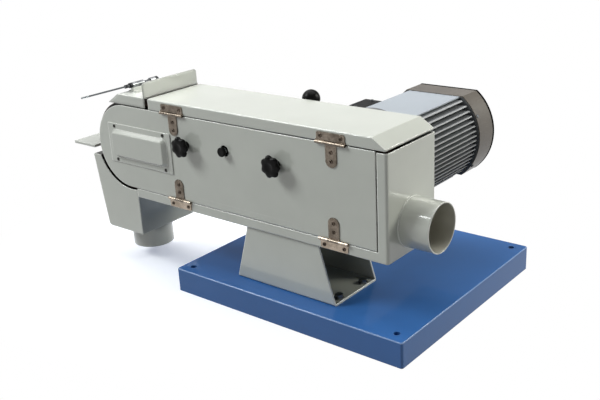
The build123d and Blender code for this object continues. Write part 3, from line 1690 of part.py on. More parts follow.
def hinge_strap(x, z, up):
    """Door strap with the middle knuckle."""
    hinge_plate(
        x, z, up, hinge_strap_width, hinge_strap_length, hinge_strap_tip_radius, strap_screws
    )
    knuckle(x, z, up, hinge_middle_length)


def hinge_pin(x, z):
    """Plain pin through all three knuckles."""
    half = hinge_barrel_length / 2 + hinge_pin_overhang
    tube_x(hinge_y, z, x - half, x + half, hinge_pin_diameter / 2)


with BuildPart() as lower_hinge_leaves:
    for x in hinge_xs:
        hinge_leaf(x, lower_hinge_z, -1)
lower_hinge_leaves.part.label = "lower_hinge_leaves"
export_step(lower_hinge_leaves.part, "parts/lower_hinge_leaves.step")

with BuildPart() as lower_hinge_pins:
    for x in hinge_xs:
        hinge_pin(x, lower_hinge_z)
lower_hinge_pins.part.label = "lower_hinge_pins"
export_step(lower_hinge_pins.part, "parts/lower_hinge_pins.step")

with BuildPart() as lower_leaf_screws:
    for x, z in lower_leaf_screws_at:
        pan_screw(axis_plane(x, near_face - hinge_thickness, z), hinge_thickness + sheet)
lower_leaf_screws.part.label = "lower_leaf_screws"
export_step(lower_leaf_screws.part, "parts/lower_leaf_screws.step")

with BuildPart() as door_straps:
    for x in hinge_xs:
        hinge_strap(x, lower_hinge_z, 1)
        hinge_strap(x, upper_hinge_z, -1)
door_straps.part.label = "door_straps"
export_step(door_straps.part, "parts/door_straps.step")

with BuildPart() as door_screws:
    for x, z in strap_screws_at:
        pan_screw(axis_plane(x, near_face - hinge_thickness, z), hinge_thickness + door_thickness)
    for x, z in cover_screws_at:
        pan_screw(axis_plane(x, near_face - sheet, z), sheet + door_thickness)
door_screws.part.label = "door_screws"
export_step(door_screws.part, "parts/door_screws.step")

with BuildPart() as upper_hinge_pins:
    for x in hinge_xs:
        hinge_pin(x, upper_hinge_z)
upper_hinge_pins.part.label = "upper_hinge_pins"
export_step(upper_hinge_pins.part, "parts/upper_hinge_pins.step")

# Star knobs: lobed grip, collar and a stud that reaches through the door into its post
collar_end = near_face - side_clearance
grip_back = collar_end - star_collar_length
lobe_circle = (star_knob_diameter - star_lobe_diameter) / 2


def star_knob(x):
    """One star knob on its stud, at one place along the door."""
    with BuildSketch(axis_plane(x, grip_back, star_knob_z)) as grip:
        Circle(star_core_diameter / 2)
        with PolarLocations(lobe_circle, star_knob_lobes):
            Circle(star_lobe_diameter / 2)
        fillet(grip.vertices(), star_lobe_blend)
    extrude(grip.sketch, amount=star_knob_thickness)
    tube_y(x, star_knob_z, grip_back, collar_end, star_collar_diameter / 2)
    tube_y(x, star_knob_z, collar_end, post_end + stud_reach, stud_diameter / 2)


with BuildPart() as star_knob_front:
    star_knob(star_knob_front_x)
    fillet(star_knob_front.faces().sort_by(Axis.Y)[0].edges(), star_knob_edge_radius)
star_knob_front.part.label = "star_knob_front"
export_step(star_knob_front.part, "parts/star_knob_front.step")

with BuildPart() as star_knob_rear:
    star_knob(star_knob_rear_x)
    fillet(star_knob_rear.faces().sort_by(Axis.Y)[0].edges(), star_knob_edge_radius)
star_knob_rear.part.label = "star_knob_rear"
export_step(star_knob_rear.part, "parts/star_knob_rear.step")

# Lid: a folded cap over the top run, with a sloped rear end and an open front end
lid_rear_bottom = lid_bottom + lid_rear_lift
lid_slope_bottom = lid_rear_bottom + lid_rear_flange
with BuildPart() as lid:
    with BuildSketch(side_plane(far_face)):
        with BuildLine():
            Polyline(
                (lid_front_x, lid_bottom),
                (lid_rear_x, lid_rear_bottom),
                (lid_rear_x, lid_slope_bottom),
                (lid_slope_top_x, lid_top),
                (lid_front_x, lid_top),
                close=True,
            )
        make_face()
    extrude(amount=housing_width)
    fillet(lid.edges().filter_by(Axis.X).group_by(Axis.Z)[-1], bend_radius)
    with BuildSketch(side_plane(far_inner)):
        with BuildLine():
            Polyline(
                (lid_front_x - lid_height, lid_bottom - lid_height),
                (lid_rear_x, lid_bottom - lid_height),
                (lid_rear_x, lid_slope_bottom),
                (lid_slope_top_x, lid_top),
                (lid_front_x - lid_height, lid_top),
                close=True,
            )
        make_face()
        offset(amount=-sheet)
    extrude(amount=housing_width - 2 * sheet, mode=Mode.SUBTRACT)
    block(
        lid_front_x,
        lid_rear_x,
        far_inner,
        far_face,
        lid_bottom,
        lid_bottom + lid_far_lift,
        Mode.SUBTRACT,
    )
    for x, z in lid_leaf_screws_at:
        tube_y(x, z, near_face, near_inner, m5 / 2 + hole_clearance, mode=Mode.SUBTRACT)
lid.part.label = "lid"
export_step(lid.part, "parts/lid.step")

with BuildPart() as lid_hinge_leaves:
    for x in hinge_xs:
        hinge_leaf(x, upper_hinge_z, 1)
lid_hinge_leaves.part.label = "lid_hinge_leaves"
export_step(lid_hinge_leaves.part, "parts/lid_hinge_leaves.step")

with BuildPart() as lid_leaf_screws:
    for x, z in lid_leaf_screws_at:
        pan_screw(axis_plane(x, near_face - hinge_thickness, z), hinge_thickness + sheet)
lid_leaf_screws.part.label = "lid_leaf_screws"
export_step(lid_leaf_screws.part, "parts/lid_leaf_screws.step")
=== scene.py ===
import bpy
import numpy as np
from mathutils import Matrix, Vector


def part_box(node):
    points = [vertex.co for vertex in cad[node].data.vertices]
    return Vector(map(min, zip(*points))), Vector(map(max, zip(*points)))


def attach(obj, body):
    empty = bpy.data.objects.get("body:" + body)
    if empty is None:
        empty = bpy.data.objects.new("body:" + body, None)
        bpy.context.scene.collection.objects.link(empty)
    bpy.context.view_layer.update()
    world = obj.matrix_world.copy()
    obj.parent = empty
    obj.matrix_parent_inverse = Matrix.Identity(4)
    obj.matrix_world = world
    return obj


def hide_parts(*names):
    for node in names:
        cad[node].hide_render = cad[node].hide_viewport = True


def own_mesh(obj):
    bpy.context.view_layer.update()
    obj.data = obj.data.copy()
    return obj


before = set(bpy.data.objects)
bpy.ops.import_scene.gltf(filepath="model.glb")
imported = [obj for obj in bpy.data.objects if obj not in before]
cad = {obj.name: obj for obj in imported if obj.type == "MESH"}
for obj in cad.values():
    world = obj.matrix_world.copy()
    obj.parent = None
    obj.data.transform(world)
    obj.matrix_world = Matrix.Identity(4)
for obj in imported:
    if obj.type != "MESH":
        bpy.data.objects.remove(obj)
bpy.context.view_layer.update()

# Base plate: a pan folded from 3 mm steel sheet, with sleeves welded under its four bolt
# holes. It is sprayed with blue enamel and baked, so its folds are round and its skin glossy.


def linear(code):
    """Linear colour of an sRGB hex value, with full alpha."""
    parts = np.array([int(code[i : i + 2], 16) for i in (1, 3, 5)]) / 255
    parts = np.where(parts <= 0.04045, parts / 12.92, ((parts + 0.055) / 1.055) ** 2.4)
    return (*parts.tolist(), 1.0)


def add(tree, kind, inputs=None, **settings):
    """Adds one node, sets its settings, and links or fills its inputs by name or number."""
    node = tree.nodes.new(kind)
    for key, value in settings.items():
        setattr(node, key, value)
    for key, value in (inputs or {}).items():
        socket = node.inputs[key]
        if isinstance(value, bpy.types.NodeSocket):
            tree.links.new(value, socket)
        else:
            socket.default_value = value
    return node


def blend(tree, factor, first, second):
    """Colour socket that goes from the first colour to the second as the factor goes from 0 to 1."""
    mixed = add(tree, "ShaderNodeMix", {"Factor": factor, "A": first, "B": second}, data_type="RGBA")
    return mixed.outputs["Result"]


def material(name):
    """New material with an empty tree and one principled shader on its output."""
    made = bpy.data.materials.new(name)
    made.use_nodes = True
    tree = made.node_tree
    tree.nodes.clear()
    shader = add(tree, "ShaderNodeBsdfPrincipled")
    add(tree, "ShaderNodeOutputMaterial", {"Surface": shader.outputs["BSDF"]})
    return made, tree, shader


def dress(finish, *names):
    """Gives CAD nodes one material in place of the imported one."""
    for name in names:
        cad[name].data.materials.clear()
        cad[name].data.materials.append(finish)


def enamel(name, face, edge_highlight_tone, rough, fold_mm=0.9, edge_highlight_share=0.6, cloudy=0.03, coat=0.6, specular=0.3):
    """Baked enamel: an even colour that clouds by a few per cent, is painted paler along each sharp
    edge as a painted highlight, and has the faint orange peel of a sprayed film. Real peel is 1 to
    2 mm; it is drawn at 3 mm so that it shows in the render."""
    made, tree, shader = material(name)
    place = add(tree, "ShaderNodeTexCoord").outputs["Object"]
    cloud = add(tree, "ShaderNodeTexNoise", {"Vector": place, "Scale": 1 / 0.09, "Detail": 3.0})
    peel = add(tree, "ShaderNodeTexNoise", {"Vector": place, "Scale": 1000 / 3.0, "Detail": 1.0})
    round_edge = add(tree, "ShaderNodeBevel", {"Radius": fold_mm / 1000}, samples=6)
    flat = add(tree, "ShaderNodeNewGeometry").outputs["Normal"]
    turn = add(
        tree, "ShaderNodeVectorMath", {0: round_edge.outputs["Normal"], 1: flat}, operation="DOT_PRODUCT"
    )
    # Painted highlight: the edge tone is laid on where the bevel's normal turns away from the face's, along
    # sharp edges.
    painted_edge_highlight = add(
        tree,
        "ShaderNodeMapRange",
        {"Value": turn.outputs["Value"], "From Min": 0.99, "From Max": 0.88, "To Max": edge_highlight_share},
    )
    tint = add(
        tree,
        "ShaderNodeMapRange",
        {
            "Value": cloud.outputs["Fac"],
            "From Min": 0.3,
            "From Max": 0.7,
            "To Min": 1 - cloudy,
            "To Max": 1 + cloudy,
        },
    )
    body = add(
        tree,
        "ShaderNodeVectorMath",
        {0: linear(face)[:3], "Scale": tint.outputs["Result"]},
        operation="SCALE",
    )
    colour = blend(tree, painted_edge_highlight.outputs["Result"], body.outputs["Vector"], linear(edge_highlight_tone))
    gloss = add(
        tree,
        "ShaderNodeMapRange",
        {"Value": cloud.outputs["Fac"], "To Min": rough - 0.04, "To Max": rough + 0.06},
    )
    skin = add(
        tree,
        "ShaderNodeBump",
        {
            "Strength": 0.12,
            "Distance": 0.0002,
            "Height": peel.outputs["Fac"],
            "Normal": round_edge.outputs["Normal"],
        },
    )
    tree.links.new(colour, shader.inputs["Base Color"])
    tree.links.new(gloss.outputs["Result"], shader.inputs["Roughness"])
    tree.links.new(skin.outputs["Normal"], shader.inputs["Normal"])
    tree.links.new(skin.outputs["Normal"], shader.inputs["Coat Normal"])
    shader.inputs["Specular IOR Level"].default_value = specular
    shader.inputs["Coat Weight"].default_value = coat
    shader.inputs["Coat Roughness"].default_value = 0.09
    return made


def reopen(made):
    """Node tree and principled shader of a material made before."""
    tree = made.node_tree
    return tree, next(node for node in tree.nodes if node.type == "BSDF_PRINCIPLED")


def overlay(tree, shader, mask, tone):
    """Lays another colour over the shader's present one, as far as the mask says."""
    below = shader.inputs["Base Color"].links[0].from_socket
    colour = blend(tree, mask, below, linear(tone))
    tree.links.new(colour, shader.inputs["Base Color"])


def level_share(tree):
    """Socket that says how far a face looks up: 1 on level faces and 0 on upright ones."""
    normal = add(tree, "ShaderNodeNewGeometry").outputs["Normal"]
    return add(tree, "ShaderNodeSeparateXYZ", {"Vector": normal}).outputs["Z"]


blue_enamel = enamel(
    "blue_baked_enamel", "#3767A6", "#8FB0E0", 0.34, fold_mm=1.0, edge_highlight_share=0.2, coat=0.5, specular=0.05
)
tree, shader = reopen(blue_enamel)
shader.inputs["Coat Roughness"].default_value = 0.05
# Painted highlight: round folds, whose faces are neither level nor upright, get a paler blue.
upward = level_share(tree)
sideways = add(tree, "ShaderNodeMath", {0: 1.0, 1: upward}, operation="SUBTRACT")
both = add(tree, "ShaderNodeMath", {0: upward, 1: sideways.outputs["Value"]}, operation="MULTIPLY")
painted_fold_highlight = add(
    tree,
    "ShaderNodeMapRange",
    {"Value": both.outputs["Value"], "From Min": 0.05, "From Max": 0.2, "To Max": 0.42},
)
overlay(tree, shader, painted_fold_highlight.outputs["Result"], "#B4CCF0")
dress(blue_enamel, "base_plate")

# Housing, chute spigot, guide and work rest: sheet steel, folded, welded and sprayed with one
# light grey enamel of half gloss.
grey_enamel = enamel(
    "light_grey_baked_enamel", "#C3C6BE", "#FDFEF8", 0.38, fold_mm=3.5, edge_highlight_share=0.9, coat=1.0, specular=0.2
)
dress(grey_enamel, "housing", "chute_spigot", "tension_guide", "work_rest")

# Pedestal: the same enamel outside. The faces that look in toward its long axis are painted a
# duller grey: painted shade inside the channel.
pedestal_enamel_painted_shade = grey_enamel.copy()
pedestal_enamel_painted_shade.name = "light_grey_pedestal_enamel"
tree, shader = reopen(pedestal_enamel_painted_shade)
pedestal_low, pedestal_high = (np.array(corner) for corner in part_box("pedestal"))
place = add(tree, "ShaderNodeTexCoord").outputs["Object"]
from_middle = add(
    tree,
    "ShaderNodeVectorMath",
    {0: place, 1: tuple((pedestal_low + pedestal_high) / 2)},
    operation="SUBTRACT",
)
from_axis = add(
    tree,
    "ShaderNodeVectorMath",
    {0: from_middle.outputs["Vector"], 1: (0.0, 1.0, 1.0)},
    operation="MULTIPLY",
)
flat = add(tree, "ShaderNodeNewGeometry").outputs["Normal"]
outward = add(
    tree, "ShaderNodeVectorMath", {0: from_axis.outputs["Vector"], 1: flat}, operation="DOT_PRODUCT"
)
# Painted shade: faces whose normal points back toward the long axis are laid over with a darker grey.
inside = add(
    tree, "ShaderNodeMapRange", {"Value": outward.outputs["Value"], "From Min": -0.02, "From Max": -0.03}
)
overlay(tree, shader, inside.outputs["Result"], "#8F9189")
dress(pedestal_enamel_painted_shade, "pedestal")

# Visor: the same enamel over softer bends. Its level top is painted paler than its sides: painted
# light, where the light from above falls.
visor_enamel_painted_top_light = enamel(
    "light_grey_visor_enamel", "#C3C6BE", "#FDFEF8", 0.38, fold_mm=8.0, edge_highlight_share=0.1, coat=1.0, specular=0.2
)
tree, shader = reopen(visor_enamel_painted_top_light)
# Painted light: level faces are painted paler.
painted_top_light = add(
    tree,
    "ShaderNodeMapRange",
    {"Value": level_share(tree), "From Min": 0.6, "From Max": 0.98, "To Max": 0.8},
)
overlay(tree, shader, painted_top_light.outputs["Result"], "#F4F6F0")
dress(visor_enamel_painted_top_light, "visor")

# Spark chute and rear spigot: the same enamel outside. Inside, the chute's enamel is drawn near
# black and the spigot's a little darker.
spigot_radius = 0.050
spigot_wall = 0.002
rear_spigot_axis = (0.0, -0.138, 0.243)
chute_near, chute_far, chute_rear = -0.221, -0.055, -0.457
chute_front_top = np.array((-0.605, 0.0, 0.266))
chute_front_inward = np.array((0.180, 0.0, 0.026)) / np.hypot(0.180, 0.026)


def spigot_depth(tree, place):
    """Spigot's outer radius less the distance from its axis."""
    across = add(tree, "ShaderNodeVectorMath", {0: place, 1: (0.0, 1.0, 1.0)}, operation="MULTIPLY")
    off_axis = add(
        tree,
        "ShaderNodeVectorMath",
        {0: across.outputs["Vector"], 1: rear_spigot_axis},
        operation="DISTANCE",
    ).outputs["Value"]
    return add(tree, "ShaderNodeMath", {0: spigot_radius, 1: off_axis}, operation="SUBTRACT")


def chute_depth(tree, place):
    """Least of the distances to the outside of the near, far and rear walls and the slanted front."""
    sides = add(tree, "ShaderNodeSeparateXYZ", {"Vector": place})
    slant = add(
        tree, "ShaderNodeVectorMath", {0: place, 1: chute_front_inward.tolist()}, operation="DOT_PRODUCT"
    )
    front_offset = float(chute_front_top @ chute_front_inward)
    near = add(tree, "ShaderNodeMath", {0: sides.outputs["Y"], 1: chute_near}, operation="SUBTRACT")
    far = add(tree, "ShaderNodeMath", {0: chute_far, 1: sides.outputs["Y"]}, operation="SUBTRACT")
    rear = add(tree, "ShaderNodeMath", {0: chute_rear, 1: sides.outputs["X"]}, operation="SUBTRACT")
    least = add(
        tree, "ShaderNodeMath", {0: slant.outputs["Value"], 1: front_offset}, operation="SUBTRACT"
    )
    for wall in (near, far, rear):
        pair = {0: least.outputs["Value"], 1: wall.outputs["Value"]}
        least = add(tree, "ShaderNodeMath", pair, operation="MINIMUM")
    return least


def darkened_inside(name, depth, inside_tone):
    """Copy of the grey enamel that turns to the given inside tone where the depth below the outside,
    which the given function works out from the place, nears the wall's thickness."""
    made = grey_enamel.copy()
    made.name = name
    tree, shader = reopen(made)
    below = depth(tree, add(tree, "ShaderNodeTexCoord").outputs["Object"])
    inside = add(
        tree,
        "ShaderNodeMapRange",
        {"Value": below.outputs["Value"], "From Min": 0.8 * spigot_wall, "From Max": 0.95 * spigot_wall},
    )
    overlay(tree, shader, inside.outputs["Result"], inside_tone)
    return made


# The inside tone is darker than the enamel outside: a little for the spigot, near black for the chute.
dress(darkened_inside("grey_enamel_darker_inside_spigot", spigot_depth, "#BDBBB0"), "rear_spigot")
dress(darkened_inside("grey_enamel_darker_inside_chute", chute_depth, "#2E2D2A"), "spark_chute")

# Weld fillets where both spigots meet their sheet: a bead 2 mm high laid all round the tube,
# with the small even ripples of a hand torch, painted over with the housing.
fillet_leg = 0.002
fillet_root = 0.0004
ripple_pitch = 0.0045
ripple_share = 0.07


def grid_piece(name, points, closed_u=False, closed_v=False):
    """Mesh of a grid of points (rows, columns, 3), each cell one quad; a closed direction joins
    its last row or column to the first."""
    rows, columns = points.shape[:2]
    index = np.arange(rows * columns).reshape(rows, columns)
    i = np.arange(rows if closed_u else rows - 1)
    j = np.arange(columns if closed_v else columns - 1)
    i, j = np.meshgrid(i, j, indexing="ij")
    i_next = (i + 1) % rows
    j_next = (j + 1) % columns
    quads = np.stack([index[i, j], index[i_next, j], index[i_next, j_next], index[i, j_next]], -1)
    mesh = bpy.data.meshes.new(name)
    mesh.from_pydata(points.reshape(-1, 3).tolist(), [], quads.reshape(-1, 4).tolist())
    mesh.validate()
    piece = bpy.data.objects.new(name, mesh)
    bpy.context.scene.collection.objects.link(piece)
    mesh.shade_smooth()
    return piece


def finish_piece(piece, finish, body, slot, *replaced):
    """Gives a new piece its material and its body, and hides the CAD nodes that it stands for. The slot
    argument is not used.
    """
    piece.data.materials.append(finish)
    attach(piece, body)
    if replaced:
        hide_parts(*replaced)


def weld_fillet(name, origin, axis, side):
    """Bead round a tube: a closed quarter-round section carried round a circle, its leg growing
    and shrinking by a small wave whose length is the ripple pitch."""
    turns = np.linspace(0, 2 * np.pi, 288, endpoint=False)[:, None]
    waves = round(2 * np.pi * spigot_radius / ripple_pitch)
    leg = fillet_leg * (1 + ripple_share * np.cos(waves * turns))
    arc = np.linspace(0, np.pi / 2, 9)[None, :]
    root = np.full_like(leg, -fillet_root)
    out = np.concatenate([leg * np.sin(arc), root], 1)
    up = np.concatenate([leg * np.cos(arc), root], 1)
    radius = spigot_radius + out
    first, second = np.cross(axis, side), np.array(side)
    points = (
        np.array(origin)
        + radius[..., None] * (np.cos(turns)[..., None] * first + np.sin(turns)[..., None] * second)
        + up[..., None] * np.array(axis)
    )
    return grid_piece(name, points, True, True)


rear_weld = weld_fillet("rear_spigot_weld", (0.244, -0.138, 0.243), (1.0, 0.0, 0.0), (0.0, 0.0, 1.0))
finish_piece(rear_weld, grey_enamel, "frame", "light_grey_paint")
chute_weld = weld_fillet("chute_spigot_weld", (-0.518, -0.138, 0.086), (0.0, 0.0, -1.0), (1.0, 0.0, 0.0))
finish_piece(chute_weld, grey_enamel, "frame", "light_grey_paint")

# Bolts, nuts and washers that hold the pedestal, the wall pieces and the drive wheel: zinc
# plated steel, cold-headed, with the dull cloudy sheen of a passivated coat.


def metal(name, face, dark, rough, grain_mm=1.5, stretch=(1.0, 1.0, 1.0), fold_mm=0.3, bump=0.06):
    """Bare or plated metal: two tones of one metal mixed by a noise of one grain size, which may
    be stretched along an axis as turning or grinding leaves it, and roughness from the same noise."""
    made, tree, shader = material(name)
    place = add(tree, "ShaderNodeTexCoord").outputs["Object"]
    along = add(tree, "ShaderNodeMapping", {"Vector": place, "Scale": stretch})
    grain = add(
        tree,
        "ShaderNodeTexNoise",
        {"Vector": along.outputs["Vector"], "Scale": 1000 / grain_mm, "Detail": 4.0},
    )
    cloud = add(tree, "ShaderNodeTexNoise", {"Vector": place, "Scale": 1 / 0.02, "Detail": 2.0})
    both = add(
        tree, "ShaderNodeMath", {0: grain.outputs["Fac"], 1: cloud.outputs["Fac"]}, operation="MULTIPLY"
    )
    spread = add(
        tree, "ShaderNodeMapRange", {"Value": both.outputs["Value"], "From Min": 0.12, "From Max": 0.4}
    )
    colour = blend(tree, spread.outputs["Result"], linear(dark), linear(face))
    gloss = add(
        tree,
        "ShaderNodeMapRange",
        {"Value": grain.outputs["Fac"], "To Min": rough + 0.08, "To Max": rough - 0.06},
    )
    round_edge = add(tree, "ShaderNodeBevel", {"Radius": fold_mm / 1000}, samples=6)
    skin = add(
        tree,
        "ShaderNodeBump",
        {
            "Strength": bump,
            "Distance": 0.0001,
            "Height": grain.outputs["Fac"],
            "Normal": round_edge.outputs["Normal"],
        },
    )
    tree.links.new(colour, shader.inputs["Base Color"])
    tree.links.new(gloss.outputs["Result"], shader.inputs["Roughness"])
    tree.links.new(skin.outputs["Normal"], shader.inputs["Normal"])
    shader.inputs["Metallic"].default_value = 1.0
    return made


zinc_plate = metal("zinc_plated_steel", "#9DA0A1", "#55595B", 0.30)
dress(zinc_plate, "pedestal_bolts", "wall_bolts", "drive_wheel_screw", "tension_lever")

# Sanding belt: a 150 mm cloth belt with brown aluminium oxide grit glued on its outside. The
# grit is about 0.3 mm; it is drawn at 1.2 mm so that it shows.
belt_cloth, tree, shader = material("aluminium_oxide_cloth")
place = add(tree, "ShaderNodeTexCoord").outputs["Object"]
grit = add(tree, "ShaderNodeTexVoronoi", {"Vector": place, "Scale": 1000 / 1.2})
drift = add(tree, "ShaderNodeTexNoise", {"Vector": place, "Scale": 1 / 0.05})
tone = add(
    tree,
    "ShaderNodeMath",
    {0: grit.outputs["Distance"], 1: drift.outputs["Fac"]},
    operation="MULTIPLY",
)
colour = blend(tree, tone.outputs["Value"], linear("#2E1C14"), linear("#5E3D2C"))
rub = add(
    tree, "ShaderNodeBump", {"Strength": 0.6, "Distance": 0.0003, "Height": grit.outputs["Distance"]}
)
tree.links.new(colour, shader.inputs["Base Color"])
tree.links.new(rub.outputs["Normal"], shader.inputs["Normal"])
shader.inputs["Roughness"].default_value = 0.92
dress(belt_cloth, "sanding_belt")

# Platen pad: canvas faced with graphite, riveted flat on the platen, so that the belt slides.
# Its threads are about 1 mm apart and show as a faint cross weave.
graphite, tree, shader = material("graphite_canvas")
place = add(tree, "ShaderNodeTexCoord").outputs["Object"]
warp = add(
    tree,
    "ShaderNodeTexWave",
    {"Vector": place, "Scale": 1000 / 20, "Distortion": 0.4},
    bands_direction="X",
)
weft = add(
    tree,
    "ShaderNodeTexWave",
    {"Vector": place, "Scale": 1000 / 20, "Distortion": 0.4},
    bands_direction="Y",
)
weave = add(
    tree, "ShaderNodeMath", {0: warp.outputs["Fac"], 1: weft.outputs["Fac"]}, operation="MULTIPLY"
)
colour = blend(tree, weave.outputs["Value"], linear("#1B1B1D"), linear("#3A3A3D"))
thread = add(
    tree, "ShaderNodeBump", {"Strength": 0.3, "Distance": 0.0002, "Height": weave.outputs["Value"]}
)
tree.links.new(colour, shader.inputs["Base Color"])
tree.links.new(thread.outputs["Normal"], shader.inputs["Normal"])
shader.inputs["Roughness"].default_value = 0.55
dress(graphite, "platen_pad")

# Fork, platen, spring seat, motor core, screws and shield rod: steel left oiled, with a dark
# mill skin. Posts, axle, spacers, bearings and shafts are ground bright along their length.
mild_steel = metal("oiled_mild_steel", "#6E7072", "#3C3E40", 0.48, grain_mm=4.0, bump=0.12)
dress(mild_steel, "tension_fork", "platen", "spring_seat", "stator", "rotor_core")
dress(mild_steel, "drive_key", "motor_screws", "shield_rod")
ground_steel = metal("ground_steel", "#BFC1C3", "#8D9092", 0.24, grain_mm=1.0, stretch=(1.0, 0.08, 1.0))
dress(
    ground_steel,
    "housing_posts",
    "contact_axle",
    "axle_spacers",
    "contact_bearings",
    "motor_bearings",
    "motor_shaft",
)

# Contact wheel and drive wheel: an aluminium casting under a ground rubber tyre, and a grey
# iron casting turned on its rim. Both keep the sandy skin of the mould on their webs.
cast_aluminium = metal("cast_aluminium", "#B8BABC", "#83878A", 0.42, grain_mm=1.2, bump=0.2)
dress(cast_aluminium, "contact_hub")
cast_iron = metal("machined_grey_iron", "#6B6C6E", "#404143", 0.5, grain_mm=1.2, bump=0.2)
dress(cast_iron, "drive_wheel")
tyre_rubber, tree, shader = material("ground_black_rubber")
place = add(tree, "ShaderNodeTexCoord").outputs["Object"]
scuff = add(tree, "ShaderNodeTexNoise", {"Vector": place, "Scale": 1000 / 2.0, "Detail": 5.0})
colour = blend(tree, scuff.outputs["Fac"], linear("#141414"), linear("#2C2B2A"))
nap = add(tree, "ShaderNodeBump", {"Strength": 0.3, "Distance": 0.0002, "Height": scuff.outputs["Fac"]})
tree.links.new(colour, shader.inputs["Base Color"])
tree.links.new(nap.outputs["Normal"], shader.inputs["Normal"])
shader.inputs["Roughness"].default_value = 0.8
dress(tyre_rubber, "contact_tyre")

# Tension spring: round spring wire of 4 mm wound on a 24 mm mean diameter, with closed ends
# that bear on the fork's cross-bar and on the spring seat.
spring_low, spring_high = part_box("tension_spring")
wire_radius = 0.00195
coil_radius = 0.012
coil_turns = 8.5
end_closing = 0.035


def coil_spring(name):
    """Tube of wire radius carried along a helix whose pitch closes up at both ends."""
    along = np.linspace(0, 1, 520)
    eased = along - end_closing * np.sin(2 * np.pi * along)
    turn = 2 * np.pi * coil_turns * along
    start, stop = spring_low[0] + wire_radius, spring_high[0] - wire_radius
    middle = (np.array(spring_low) + np.array(spring_high)) / 2
    path = np.stack(
        [
            start + (stop - start) * eased,
            middle[1] + coil_radius * np.cos(turn),
            middle[2] + coil_radius * np.sin(turn),
        ],
        -1,
    )
    tangent = np.gradient(path, axis=0)
    tangent /= np.linalg.norm(tangent, axis=1)[:, None]
    outward = np.stack([0 * turn, np.cos(turn), np.sin(turn)], -1)
    outward -= (outward * tangent).sum(1)[:, None] * tangent
    outward /= np.linalg.norm(outward, axis=1)[:, None]
    side = np.cross(tangent, outward)
    round_wire = np.linspace(0, 2 * np.pi, 12, endpoint=False)
    ring = (
        np.cos(round_wire)[None, :, None] * outward[:, None, :]
        + np.sin(round_wire)[None, :, None] * side[:, None, :]
    )
    swell = np.full(len(along), wire_radius)
    swell[0] = swell[-1] = 1e-6
    return grid_piece(name, path[:, None, :] + swell[:, None, None] * ring, False, True)


spring_steel = metal("oil_tempered_spring_wire", "#4F5357", "#2A2C2E", 0.32)
coil = coil_spring("spring_coil")
finish_piece(coil, spring_steel, "frame", "mild_steel", "tension_spring")
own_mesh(coil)

# Ball knob, knob grips, fan and gland: black phenolic and polyamide mouldings, with a smooth
# half-gloss skin that clouds a little where hands have touched it.


def moulding(name, face, rub, rough, fold_mm=0.5):
    """Moulded black plastic: a deep tone mixed with a paler rubbed tone by broad noise, under a
    fine leathery grain of 0.8 mm."""
    made, tree, shader = material(name)
    place = add(tree, "ShaderNodeTexCoord").outputs["Object"]
    touch = add(tree, "ShaderNodeTexNoise", {"Vector": place, "Scale": 1 / 0.012, "Detail": 2.0})
    grain = add(tree, "ShaderNodeTexNoise", {"Vector": place, "Scale": 1000 / 0.8})
    colour = blend(tree, touch.outputs["Fac"], linear(face), linear(rub))
    gloss = add(
        tree,
        "ShaderNodeMapRange",
        {"Value": touch.outputs["Fac"], "To Min": rough - 0.06, "To Max": rough + 0.08},
    )
    round_edge = add(tree, "ShaderNodeBevel", {"Radius": fold_mm / 1000}, samples=6)
    skin = add(
        tree,
        "ShaderNodeBump",
        {
            "Strength": 0.1,
            "Distance": 0.0001,
            "Height": grain.outputs["Fac"],
            "Normal": round_edge.outputs["Normal"],
        },
    )
    tree.links.new(colour, shader.inputs["Base Color"])
    tree.links.new(gloss.outputs["Result"], shader.inputs["Roughness"])
    tree.links.new(skin.outputs["Normal"], shader.inputs["Normal"])
    shader.inputs["Specular IOR Level"].default_value = 0.09
    return made


phenolic = moulding("black_phenolic", "#070707", "#101010", 0.30)
dress(phenolic, "ball_knob", "cooling_fan")
polyamide = moulding("black_polyamide", "#0B0B0C", "#151516", 0.42)
dress(polyamide, "cable_gland", "terminal_box", "terminal_box_lid")

# Motor: a finned aluminium casing under satin grey enamel, painted paler on the fins' tips as a
# painted highlight, a flange and an end shield of the same finish, and a bare blue-grey plate on its flat
# top.
fin_enamel, tree, shader = material("satin_grey_motor_enamel")
place = add(tree, "ShaderNodeTexCoord").outputs["Object"]
motor_axis = (0.098, 0.0, 0.3155)
tip_start, tip_full = 0.1068, 0.1088
away = add(tree, "ShaderNodeVectorMath", {0: place, 1: motor_axis}, operation="SUBTRACT")
level = add(
    tree, "ShaderNodeVectorMath", {0: away.outputs["Vector"], 1: (1.0, 0.0, 1.0)}, operation="MULTIPLY"
)
reach = add(tree, "ShaderNodeVectorMath", {0: level.outputs["Vector"]}, operation="LENGTH")
# Painted highlight: the fins' outer edges, beyond the tip radius, get a paler grey.
tip_highlight = add(
    tree,
    "ShaderNodeMapRange",
    {"Value": reach.outputs["Value"], "From Min": tip_start, "From Max": tip_full},
)
sand = add(tree, "ShaderNodeTexNoise", {"Vector": place, "Scale": 1000 / 1.5, "Detail": 4.0})
deep = blend(tree, sand.outputs["Fac"], linear("#5A5D5F"), linear("#787B7E"))
colour = blend(tree, tip_highlight.outputs["Result"], deep, linear("#A6A8AA"))
skin = add(tree, "ShaderNodeBump", {"Strength": 0.2, "Distance": 0.0002, "Height": sand.outputs["Fac"]})
tree.links.new(colour, shader.inputs["Base Color"])
tree.links.new(skin.outputs["Normal"], shader.inputs["Normal"])
shader.inputs["Roughness"].default_value = 0.5
shader.inputs["Specular IOR Level"].default_value = 0.2
dress(fin_enamel, "motor_frame")
motor_enamel = enamel("grey_motor_enamel", "#5A5D5F", "#85888A", 0.45)
dress(motor_enamel, "motor_flange", "motor_end_shield")
plate_enamel = enamel("blue_grey_plate_enamel", "#9CA3AB", "#C2C7CD", 0.42, coat=0.3)
dress(plate_enamel, "motor_top_plate")

